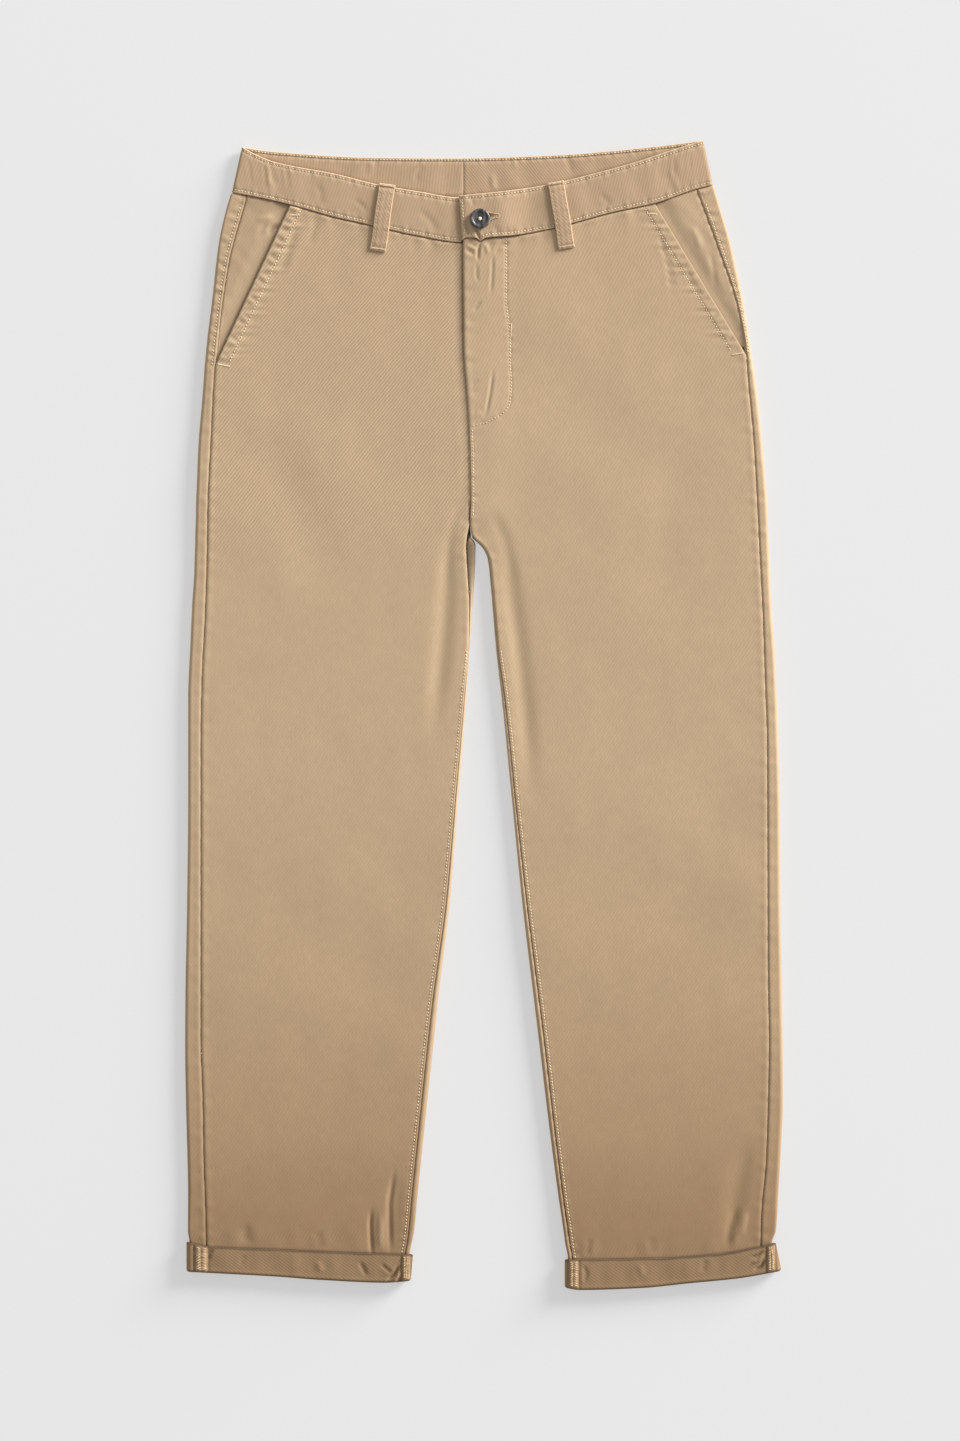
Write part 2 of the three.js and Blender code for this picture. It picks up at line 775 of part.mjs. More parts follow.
function button() {
  const disc = new THREE.Shape();
  disc.absarc(0, 0, BUTTON_RADIUS - BUTTON_BEVEL, 0, 2 * Math.PI, false);
  const geometry = new THREE.ExtrudeGeometry(disc, {
    depth: BUTTON_THICK - 2 * BUTTON_BEVEL,
    curveSegments: 24,
    bevelThickness: BUTTON_BEVEL,
    bevelSize: BUTTON_BEVEL,
    bevelSegments: 2,
  });
  const rest = BAND_FACE + BAND_LAP_LIFT + SEAM_GAP + BUTTON_BEVEL;
  return geometry.translate(BUTTON_AT[0], BUTTON_AT[1], rest);
}

// Finishes
const cloth = (color) => new THREE.MeshStandardMaterial({ color, roughness: 0.95 });
const TWILL = cloth(0xc3a888);
const TWILL_BACK = cloth(0xbfa384);
const TWILL_BAND = cloth(0xbfa283);
const TWILL_REVERSE = cloth(0x967a5c);
const BUTTON_FINISH = new THREE.MeshStandardMaterial({ color: 0x3a3633, roughness: 0.45 });

const group = new THREE.Group();
function add(name, geometry, material) {
  const mesh = new THREE.Mesh(geometry, material);
  mesh.name = name;
  group.add(mesh);
}

add("front_panel_right", frontPanel(RIGHT_LEG), TWILL);
add("front_panel_left", frontPanel(LEFT_LEG), TWILL);
add("back_panel_right", backPanel(RIGHT_LEG), TWILL_BACK);
add("back_panel_left", backPanel(LEFT_LEG), TWILL_BACK);
add("pocket_facing_right", pocketFacing(RIGHT_LEG), TWILL);
add("pocket_facing_left", pocketFacing(LEFT_LEG), TWILL);
add("waistband_right", waistband(RIGHT_BAND), TWILL_BAND);
add("waistband_left", waistband(LEFT_BAND), TWILL_BAND);
add("cuff_right", cuff(RIGHT_CUFF), TWILL_REVERSE);
add("cuff_left", cuff(LEFT_CUFF), TWILL_REVERSE);
add("belt_loop_front_right", beltLoop([-87, 477.5], [-95.6, 417.3], FRONT_LOOP), TWILL_BAND);
add("belt_loop_front_left", beltLoop([64.4, 479.6], [74.6, 419.5], FRONT_LOOP), TWILL_BAND);
add("belt_loop_back_right", backLoop(-125), TWILL_BAND);
add("belt_loop_back_centre", backLoop(CENTRE_BACK), TWILL_BAND);
add("belt_loop_back_left", backLoop(90), TWILL_BAND);
add("button", button(), BUTTON_FINISH);

export default group;
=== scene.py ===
"""Chino trousers laid flat with the front up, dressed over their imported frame.

Lengths in the tables are millimetres on the cloth; meshes are written in metres. X runs to the
right across the front as it is seen, Y from the hems to the waist and Z up from the floor.
"""

import logging
import math
from dataclasses import dataclass, field, replace
from enum import Enum
from functools import partial
from typing import Any, Callable, Sequence

import bpy
import numpy as np
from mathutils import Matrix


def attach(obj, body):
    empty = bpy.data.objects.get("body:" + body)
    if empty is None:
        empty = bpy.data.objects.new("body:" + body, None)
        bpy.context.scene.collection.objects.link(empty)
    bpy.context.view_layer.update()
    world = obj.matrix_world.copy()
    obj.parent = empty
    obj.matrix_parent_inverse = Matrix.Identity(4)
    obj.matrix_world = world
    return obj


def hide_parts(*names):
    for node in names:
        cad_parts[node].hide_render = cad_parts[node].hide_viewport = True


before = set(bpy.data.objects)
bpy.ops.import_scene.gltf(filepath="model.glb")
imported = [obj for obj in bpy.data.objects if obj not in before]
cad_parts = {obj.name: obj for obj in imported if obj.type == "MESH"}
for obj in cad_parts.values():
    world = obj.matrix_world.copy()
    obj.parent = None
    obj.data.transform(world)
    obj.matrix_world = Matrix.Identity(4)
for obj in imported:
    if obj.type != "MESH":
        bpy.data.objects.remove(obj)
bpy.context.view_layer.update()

Array = np.ndarray
Arrays = tuple[Array, ...]
Pair = tuple[float, float]  # a place (x, y), or both ends of a range
LOG = logging.getLogger("chinos")

MM = 0.001  # metres in a millimetre
BODY = "root"

# Cloth, as in the solids
CLOTH = 1.2
VISIBLE_CLOTH = 0.9  # twill at a raw edge
BAND_CLOTH = 2.0
LOOP_CLOTH = 1.4
CUFF_CLOTH = 2.4
SEAM_GAP = 0.3
WAIST_GAP = 0.5

# Heights over the floor, as in the solids
FACE = 5.8
BAND_RAISE = 1.7
BAND_FACE = FACE + 0.6
BAND_RADIUS = (BAND_FACE - BAND_RAISE) / 2
HEM_RAISE = CUFF_CLOTH + SEAM_GAP
HEM_FACE = 6.3
CUFF_RADIUS = (HEM_FACE - HEM_RAISE) / 2 + HEM_RAISE

# Centre front and centre back; the laps as in the solids, but for the fronts, which lie closer
LAP_LIFT = 0.7
LAP_DIP = 0.3
BAND_LAP_LIFT = 2.0
BAND_LAP_DIP = 0.3
BAND_UNDERLAP_END = 12.0
CENTRE_BACK = -18.6
LEFT_BAND_TOP = -22.6  # X of the lapping end at its upper edge

# Lengths of parts
BAND_HEIGHT = 38.0
BACK_LOOP_LENGTH = 61.0
HEM_MIDDLE = 166.0  # X of the middle of either hem
IN_HEM = 3.8  # how far a leg's end reaches up out of sight from the hem's lower edge

# Heights between which a leg thins or thickens, and beyond which rows bend to its ends
OVER_LOOPS = (398.0, 436.0)
INTO_HEM = (-466.0, -425.0)
BENT_TO_WAIST = 300.0
BENT_TO_HEM = -440.0

# Sewing
STITCH_PITCH = 2.9  # from one stitch to the next, counted on the waistband
STITCH_LENGTH = 2.2
STITCH_WIDTH = 0.85
EDGE_STITCH = 2.6  # topstitching from an edge or a seam
POCKET_STITCH = 11.6  # topstitching from the pocket's edge
CLOSE_PITCH = 0.55  # between the stitches of a bartack and of the buttonhole


# ---- Shapes as whole arrays ----


def smooth(a: float | Array, b: float | Array, x: Array) -> Array:
    """Rise from 0 at a to 1 at b with level ends: 3 t squared less 2 t cubed.

    Args:
        a: Where the rise starts.
        b: Where it ends.
        x: Places.

    Returns:
        Values from 0 to 1.
    """
    t = np.clip((x - a) / (b - a), 0.0, 1.0)
    return t * t * (3.0 - 2.0 * t)


def bell(x: Array, width: float) -> Array:
    """Bell of height 1 and the given half width: e to the power of minus (x / width) squared."""
    return np.exp(-((x / width) ** 2))


def ripple(s: Array, wavelength: float, seed: float) -> Array:
    """Uneven wave between about -1 and 1: three sines of unrelated lengths added up.

    Args:
        s: Distance along the wave.
        wavelength: Mean distance between crests.
        seed: Shifts the three sines against each other.

    Returns:
        Heights of the wave.
    """
    k = 2.0 * math.pi / wavelength
    first = np.sin(k * s + 1.7 * seed)
    second = np.sin(k * 0.61 * s + 4.1 * seed + 0.8)
    third = np.sin(k * 1.43 * s + 2.3 * seed + 2.1)
    return 0.45 * first + 0.35 * second + 0.25 * third


def subdivide(knots: Sequence[Array], counts: Sequence[int]) -> Array:
    """Split the spans between knots into equal steps.

    Args:
        knots: Arrays of shape (rows, 1), or (rows, steps + 1) where they differ by column.
        counts: Number of steps in each span.

    Returns:
        Array of shape (rows, steps + 1).
    """
    span = np.concatenate([[0], np.repeat(np.arange(len(counts)), counts)])
    share = np.concatenate([[0.0], *(np.arange(1, n + 1) / n for n in counts)])
    rows, column = knots[0].shape[0], np.arange(len(span))
    stack = np.stack([np.broadcast_to(knot, (rows, len(span))) for knot in knots])
    low, high = stack[span, :, column].T, stack[span + 1, :, column].T
    return low + (high - low) * share


@dataclass(frozen=True)
class Curve:
    """Smooth line through points (position, value), in rising order, that never swings past them.

    Each span is a cubic whose end slopes are the harmonic mean of the slopes on both sides.
    """

    points: tuple[Pair, ...]

    def __call__(self, x: Array) -> Array:
        """Give the value at each position; beyond the ends the line goes on level.

        Args:
            x: X of the places.

        Returns:
            Values.
        """
        at = np.array([p[0] for p in self.points])
        value = np.array([p[1] for p in self.points])
        slope = np.diff(value) / np.diff(at)
        before, after = slope[:-1], slope[1:]
        product = before * after
        total = np.where(np.abs(before + after) < 1e-12, 1.0, before + after)
        inner = np.where(product <= 0.0, 0.0, 2.0 * product / total)
        tangent = np.concatenate([slope[:1], inner, slope[-1:]])
        x = np.asarray(x, float)
        i = np.clip(np.searchsorted(at, x, side="left") - 1, 0, len(at) - 2)
        h = at[i + 1] - at[i]
        t = np.clip((x - at[i]) / h, 0.0, 1.0)
        s = 1.0 - t
        ends = value[i] * s * s * (1 + 2 * t) + value[i + 1] * t * t * (3 - 2 * t)
        return ends + h * t * s * (tangent[i] * s - tangent[i + 1] * t)


def tube(width: Array, radius: Array, arc: Array) -> Arrays:
    """Walk round a flattened tube from its inner fold over the top and back along the bottom.

    The tube's section is two level lines joined by two half circles.

    Args:
        width: Width of the tube.
        radius: Radius of its folds, half its height.
        arc: Length walked from the inner fold.

    Returns:
        Distance from the inner side and height over the bottom.
    """
    quarter = math.pi * radius / 2.0
    flat = width - 2.0 * radius
    a = np.mod(arc, 4.0 * quarter + 2.0 * flat)
    rising = a / radius
    over = (a - quarter - flat) / radius
    under = a - 3.0 * quarter - flat
    back = (under - flat) / radius
    tests = [a <= quarter, a <= quarter + flat, a <= 3 * quarter + flat, under <= flat]
    distance = [
        radius * (1.0 - np.cos(rising)), radius + a - quarter,
        width - radius + radius * np.sin(over), width - radius - under,
    ]
    height = [
        radius * (1.0 + np.sin(rising)), 2.0 * radius + 0.0 * a,
        radius * (1.0 + np.cos(over)), 0.0 * a,
    ]
    last = radius * (1.0 - np.sin(back)), radius * (1.0 - np.cos(back))
    return np.select(tests, distance, last[0]), np.select(tests, height, last[1])


Surface = Callable[[Array, Array], Array]


def normals_of(surface: Surface, u: Array, v: Array, turn: float) -> Array:
    """Unit normals of a surface: the cross product of its slopes along u and v.

    Args:
        surface: Gives points (..., 3) at (u, v).
        u: First parameter.
        v: Second parameter.
        turn: 1 or -1, whichever makes the normals point outwards.

    Returns:
        Normals of shape (..., 3).
    """
    e = 0.04
    along = surface(u + e, v) - surface(u - e, v)
    across = surface(u, v + e) - surface(u, v - e)
    normal = turn * np.cross(along, across)
    return normal / np.maximum(np.linalg.norm(normal, axis=-1, keepdims=True), 1e-12)


# ---- Folds and creases ----


@dataclass(frozen=True)
class Fold:
    """Soft trough (rise under 0) or ridge of the top layer along a nearly straight line."""

    start: Pair
    end: Pair
    bow: float
    width: float
    rise: float

    def height(self, x: Array, y: Array) -> Array:
        """Bell across the line, level ends along it.

        Args:
            x: X of the places.
            y: Y of the places.

        Returns:
            Heights.
        """
        t = (y - self.start[1]) / (self.end[1] - self.start[1])
        inside = (t > 0.0) & (t < 1.0)
        along = smooth(0.0, 0.3, t) * (1.0 - smooth(0.65, 1.0, t))
        line = self.start[0] + (self.end[0] - self.start[0]) * t
        across = x - line - self.bow * 4.0 * t * (1.0 - t)
        return np.where(inside, self.rise * along * bell(across, self.width), 0.0)


@dataclass(frozen=True)
class Crease:
    """Small crease along a short line of points: a bell across it with a lip on both sides."""

    path: tuple[Pair, ...]
    width: float
    rise: float

    def height(self, x: Array, y: Array) -> Array:
        """Bell by distance from the line, less a third of one twice as wide; its ends fade.

        Args:
            x: X of the places.
            y: Y of the places.

        Returns:
            Heights.
        """
        distance, along = path_distance(np.array(self.path), x, y)
        fade = smooth(0.0, 0.3, along) * (1.0 - smooth(0.7, 1.0, along))
        shape = bell(distance, self.width) - 0.33 * bell(distance, 2.1 * self.width)
        return 1.5 * self.rise * fade * shape


def creases_of(*rows: tuple[Any, ...]) -> tuple[Crease, ...]:
    """Creases from rows of their points, width and rise."""
    return tuple(Crease(*row) for row in rows)


def reached(path: Array) -> Array:
    """Length along a line of points up to each of them."""
    steps = np.linalg.norm(np.diff(path, axis=0), axis=1)
    return np.concatenate([[0.0], np.cumsum(steps)])


def upwards(places: Array) -> Array:
    """One vector straight up for each place."""
    return np.tile([0.0, 0.0, 1.0], (len(places), 1))


def path_distance(path: Array, x: Array, y: Array) -> Arrays:
    """Distance of places from a line of points, and how far along it the nearest point lies.

    Args:
        path: Points of shape (count, 2).
        x: X of the places.
        y: Y of the places.

    Returns:
        Distances, and shares of the line's length from 0 to 1.
    """
    steps = np.linalg.norm(np.diff(path, axis=0), axis=1)
    done = reached(path)
    best = np.full(np.shape(x), 1e9)
    along = np.zeros(np.shape(x))
    for low, high, step, start in zip(path[:-1], path[1:], steps, done[:-1]):
        dx, dy = (high - low) / step
        s = np.clip((x - low[0]) * dx + (y - low[1]) * dy, 0.0, step)
        distance = np.hypot(x - low[0] - s * dx, y - low[1] - s * dy)
        nearer = distance < best
        best = np.where(nearer, distance, best)
        along = np.where(nearer, (start + s) / done[-1], along)
    return best, along


# Main folds, where the solids have them
FOLDS = (
    Fold((-31, 178), (-48, -30), 3, 7.5, -1.1),
    Fold((-20.5, 160), (-31, 0), 3, 6, 0.1),
    Fold((15, 166), (42, -90), 5, 8, -1.1),
    Fold((9, 140), (27, 0), 3, 5.5, 0.1),
    Fold((238, -375), (217, -484), 0, 9, -0.9),
    Fold((-79, -410), (-86, -484), 0, 7, -0.7),
    Fold((-101, -440), (-100, -488), 0, 5, -0.5),
    Fold((-200, 270), (-140, 90), 6, 22, -0.5),
    Fold((190, 270), (150, 60), -6, 22, -0.5),
)

# Creases of the fronts
CREASES = creases_of(
    # under the button and down the fly
    (((-2.5, 427), (-4.7, 420.4), (-5.9, 408)), 1.3, -1.0),
    (((-1.0, 425.0), (2.5, 421), (4.0, 414)), 1.8, 0.5),
    (((-17.0, 423), (-12, 421), (-6.5, 418)), 1.6, 0.5),
    (((-17.0, 418), (-12, 416.5), (-8, 413)), 1.6, -0.4),
    (((8.0, 416), (7.6, 400), (6.8, 386), (5.4, 376)), 1.4, -0.5),
    (((-6.2, 406), (-6.6, 398), (-6.2, 389)), 1.5, -0.4),
    (((24, 426), (14, 422), (9.5, 413)), 2.4, -0.4),
    (((-2.3, 372.5), (-6, 368), (-10, 363)), 1.8, -0.4),
    (((8.2, 313), (7.4, 302), (6.2, 293), (2.6, 274), (-1.5, 264)), 1.4, -0.6),
    (((-3.5, 300.5), (-7, 299), (-12.5, 295)), 1.6, -0.4),
    (((-1, 270), (-5, 271), (-9, 269)), 1.6, 0.5),
    # beside the picture-right pocket
    (((157, 436), (165.5, 408), (168.5, 392), (170.5, 374)), 1.7, -0.6),
    (((178, 408), (188, 388), (199, 372)), 2.6, -0.3),
    # beside the picture-left pocket
    (((-168, 440), (-176, 415), (-184, 392)), 3.0, -0.5),
    (((-150, 452), (-152, 438), (-158, 420)), 3.0, -0.4),
    # above the hems
    (((-101.7, -443), (-102.2, -460), (-100.5, -490)), 1.7, -1.0),
    (((-80, -405), (-85, -440), (-84, -490)), 2.2, -0.8),
    (((-93, -446), (-93, -484)), 3.4, 0.5),
    (((-150, -462), (-146, -481)), 4.0, -0.4),
    (((-215, -456), (-212, -477)), 4.0, -0.4),
    (((229.5, -440), (222, -462), (219, -482)), 3.4, -0.9),
    (((236, -446), (231, -470)), 3.0, 0.5),
    (((150, -468), (152, -487)), 4.0, -0.35),
    (((96, -470), (92, -488)), 3.2, -0.4),
    # in the pockets' openings
    (((-192.5, 432), (-190.5, 438.5), (-183, 441)), 2.2, -1.0),
    (((-206, 446), (-197, 447), (-188, 449)), 2.8, 0.5),
    (((-203, 428), (-199, 438), (-194, 443)), 2.6, -0.4),
    (((203, 420), (207, 400), (208, 384)), 2.8, -0.35),
    (((186, 442), (192, 430), (196, 418)), 3.0, 0.4),
    # at the crotch
    (((-17, 206), (-23, 184), (-28.4, 167), (-31.6, 147), (-36, 105)), 4.6, -0.25),
    (((5, 190), (12, 174), (19, 158), (24, 136), (28, 104)), 5.5, -0.3),
)


def creased(x: Array, y: Array, creases: Sequence[Crease]) -> Array:
    """Height that small creases add."""
    return sum((crease.height(x, y) for crease in creases), np.zeros(np.shape(x + y)))


def crease_shading(height: Array) -> Array:
    """Painted crease shading: up to 0.8 darker in a trough, a little paler on a ridge."""
    return np.clip(0.55 * height, -0.8, 0.25)


def relief(x: Array, y: Array) -> Array:
    """Height that the main folds add to the top layer."""
    return sum(fold.height(x, y) for fold in FOLDS)


def creasing(x: Array, y: Array) -> Array:
    """Height of the small creases and of the cloth's slack: two long uneven waves crossed.

    Args:
        x: X of the places.
        y: Y of the places.

    Returns:
        Heights.
    """
    small = creased(x, y, CREASES)
    slack = ripple(x + 0.35 * y, 150.0, 0.4) * ripple(y - 0.2 * x, 190.0, 1.3)
    grain = ripple(x - 0.6 * y, 46.0, 2.2) * ripple(y + 0.3 * x, 58.0, 0.9)
    return small + 0.55 * slack + 0.12 * grain


# ---- The two legs ----


def columns(rows: Sequence[tuple[float, ...]], column: int) -> Curve:
    """Curve over Y of one column of a table whose first column is Y."""
    return Curve(tuple((row[0], row[column]) for row in rows))


RIGHT_OUTLINE = (
    # y, outer side, inner side, front panel's edge
    (-513, -264.8, -68.9, -73.4), (-484.5, -264.8, -67.0, -71.4), (-474.5, -265.0, -65.0, -69.6),
    (-464, -266.4, -63.0, -68.2), (-436.5, -266.4, -60.3, -65.7), (-346.5, -268.4, -51.0, -56.4),
    (-300, -269.1, -45.9, -51.5), (-256.5, -268.9, -41.4, -46.5), (-166.5, -267.3, -30.6, -34.2),
    (-76.5, -266.4, -23.4, -26.1), (13.5, -266.4, -16.2, -18.0), (67.5, -264.2, -12.6, -13.4),
    (99, -262.8, -10.2, -13.4), (126, -261.0, -8.4, -14.8), (145.8, -260.4, -7.7, -16.0),
    (153, -260.1, -7.6, -16.2), (156.6, -260.0, -9.0, -15.9), (160.2, -260.0, -11.9, -15.5),
    (166.5, -259.8, -10.8, -14.1), (172.8, -259.6, -9.9, -13.1), (186.3, -259.4, -8.0, -12.5),
    (193.5, -259.2, -5.9, -10.8), (212, -258.4, -4.2, -7.7), (238.5, -257.4, -3.3, -6.3),
    (283.5, -253.8, -3.9, -6.9), (328.5, -250.2, -6.3, -9.3), (373.5, -244.8, -6.3, -9.3),
    (423, -239.0, -6.3, -9.3), (454.5, -232.2, -6.3, -9.3), (477, -225.0, -6.3, -9.3),
)
LEFT_OUTLINE = (
    # y, outer side, inner side, front panel's edge
    (-513, 264.3, 75.6, 79.9), (-500, 264.0, 75.6, 79.9), (-490, 262.2, 75.6, 79.6),
    (-474.5, 259.4, 73.0, 77.2), (-464, 262.7, 71.6, 75.8), (-436.5, 264.6, 67.5, 71.8),
    (-391.5, 267.3, 61.4, 66.0), (-346.5, 269.1, 55.8, 60.6), (-300, 268.9, 50.3, 55.2),
    (-256.5, 268.2, 45.0, 49.8), (-166.5, 266.9, 34.2, 38.4), (-76.5, 266.2, 25.2, 28.4),
    (13.5, 263.7, 16.2, 18.9), (58.5, 261.5, 11.0, 12.6), (103.5, 258.4, 7.2, 8.1),
    (121.5, 257.6, 5.6, 6.3), (139.5, 257.0, 3.6, 4.3), (148.5, 256.6, 0.0, 0.6),
    (154.8, 256.4, -5.4, -4.5), (159.3, 256.2, -10.8, -9.7), (162.9, 256.0, -13.7, -11.7),
    (166.5, 255.9, -15.3, -12.4), (172.8, 255.7, -15.6, -12.6), (193.5, 254.7, -14.9, -11.9),
    (238.5, 251.1, -15.6, -12.6), (283.5, 246.6, -17.8, -14.8), (328.5, 240.3, -21.0, -18.0),
    (373.5, 233.1, -21.5, -18.5), (423, 222.3, -21.9, -18.9), (454.5, 213.3, -22.5, -19.5),
    (477, 206.6, -22.8, -19.8),
)
LAP_EDGE = columns(LEFT_OUTLINE, 3)
RIGHT_INNER = columns(RIGHT_OUTLINE, 2)

SEAT_SEAM = Curve((
    (156, -10.0), (162, -11.6), (166.5, -12.2), (173, -12.4), (189, -11.6), (212, -11.5),
    (240, -12.3), (283.5, -14.4), (328.5, -17.2), (365, CENTRE_BACK),
))
RIGHT_OUTSEAM = Curve((
    (-513, -249.3), (-454.5, -250.2), (-400, -252.0), (-346.5, -252.9), (-292.5, -254.7),
    (-22.5, -254.7), (31.5, -253.8), (85.5, -251.1), (139.5, -249.3), (193.5, -248.4),
    (247.5, -245.7), (301.5, -243.0), (355.5, -237.6), (409.5, -229.5), (464, -214.5),
))
LEFT_OUTSEAM = Curve((
    (-513, 248.4), (-454.5, 249.3), (-400, 253.8), (-346.5, 255.6), (-292.5, 256.5),
    (-238.5, 255.6), (-22.5, 254.7), (31.5, 252.9), (85.5, 251.1), (139.5, 248.4),
    (193.5, 245.7), (247.5, 242.6), (301.5, 237.6), (326.7, 235.8), (367.2, 228.6),
    (422, 210.6), (471, 192.4),
))
RIGHT_BAND_LOWER = Curve((
    (-227, 470.2), (-191.6, 463.3), (-164.3, 456.5), (-137, 448.7), (-100.9, 440.5),
    (-59, 431.1), (-21.2, 425.4), (-19.6, 427.7), (12, 431),
))
RIGHT_BAND_UPPER = Curve((
    (-218, 511.4), (-205.3, 504.3), (-187.7, 497.4), (-133.1, 486.7), (-98, 477.9),
    (-59, 471.1), (-22.9, 465.8), (12, 468.4),
))
LEFT_BAND_LOWER = Curve((
    (-19.5, 427.2), (-16.5, 429.4), (-11, 429.6), (-6.5, 428.6), (-3.0, 426.2), (0.3, 428.5),
    (6, 429.6), (24.8, 431.1), (61.8, 437.9), (116.6, 452.5), (153.6, 460.4), (190.7, 473),
    (206.3, 477),
))
LEFT_BAND_UPPER = Curve((
    (-22.4, 467.2), (9.2, 470.2), (56, 477), (97, 486.7), (136, 497.4), (165.3, 507.2),
    (197.5, 517.2),
))
BACK_BAND_LOWER = Curve(
    ((-227, 470.2), (-120, 466), (CENTRE_BACK, 464.5), (90, 467.5), (206.3, 477))
)
BACK_BAND_UPPER = Curve((
    (-218, 511.4), (-187.7, 507.2), (-98, 501.9), (-23.9, 501.4), (67.8, 504.3),
    (116.6, 508.1), (155.5, 512.1), (197.5, 517.2),
))
RIGHT_CUFF_UPPER = Curve(
    ((-267.8, -473.6), (-246.8, -478.2), (-178.2, -481.1), (-133.4, -483.2), (-63.9, -485.4))
)
RIGHT_CUFF_LOWER = Curve((
    (-267.8, -500.8), (-242.3, -502.1), (-187.1, -505.1), (-148.3, -508), (-88.6, -510.6),
    (-65.7, -509),
))
LEFT_CUFF_UPPER = Curve(
    ((72.6, -489.9), (154.9, -488.7), (211.6, -484.9), (244.4, -479), (262.8, -474.9))
)
LEFT_CUFF_LOWER = Curve((
    (72.6, -515.2), (86.2, -517.2), (140, -515.5), (184.8, -511.1), (229.5, -506.6),
    (267.4, -500),
))

ROW_TOP = 470.0
ROW_END = -505.0
TUCK = 2.2  # cloth that goes on out of sight under a seam


def panel_rows() -> Array:
    """Heights of a panel's rows: up to 3 mm apart, close at the pockets and at the crotch.

    Returns:
        Heights, from the waist down.
    """
    bounds = (ROW_TOP, 462, 305, 200, 135, -440, -466, -492)
    steps = (6, 111, 44, 41, 191, 10, 20)
    spans = [np.linspace(a, b, n + 1)[:-1] for a, b, n in zip(bounds, bounds[1:], steps)]
    ends = [ROW_TOP + TUCK, ROW_TOP + 0.5 * TUCK], np.linspace(-492, ROW_END, 6)
    return np.concatenate([ends[0], *spans, ends[1]])


def underside(y: Array) -> Array:
    """Height of a leg's underside over the floor: raised over the back loops and in the cuff."""
    return BAND_RAISE * smooth(*OVER_LOOPS, y) + HEM_RAISE * (1 - smooth(*INTO_HEM, y))


def face(y: Array) -> Array:
    """Height of a leg's face over the floor, without folds."""
    return FACE + (HEM_FACE - FACE) * (1 - smooth(*INTO_HEM, y))


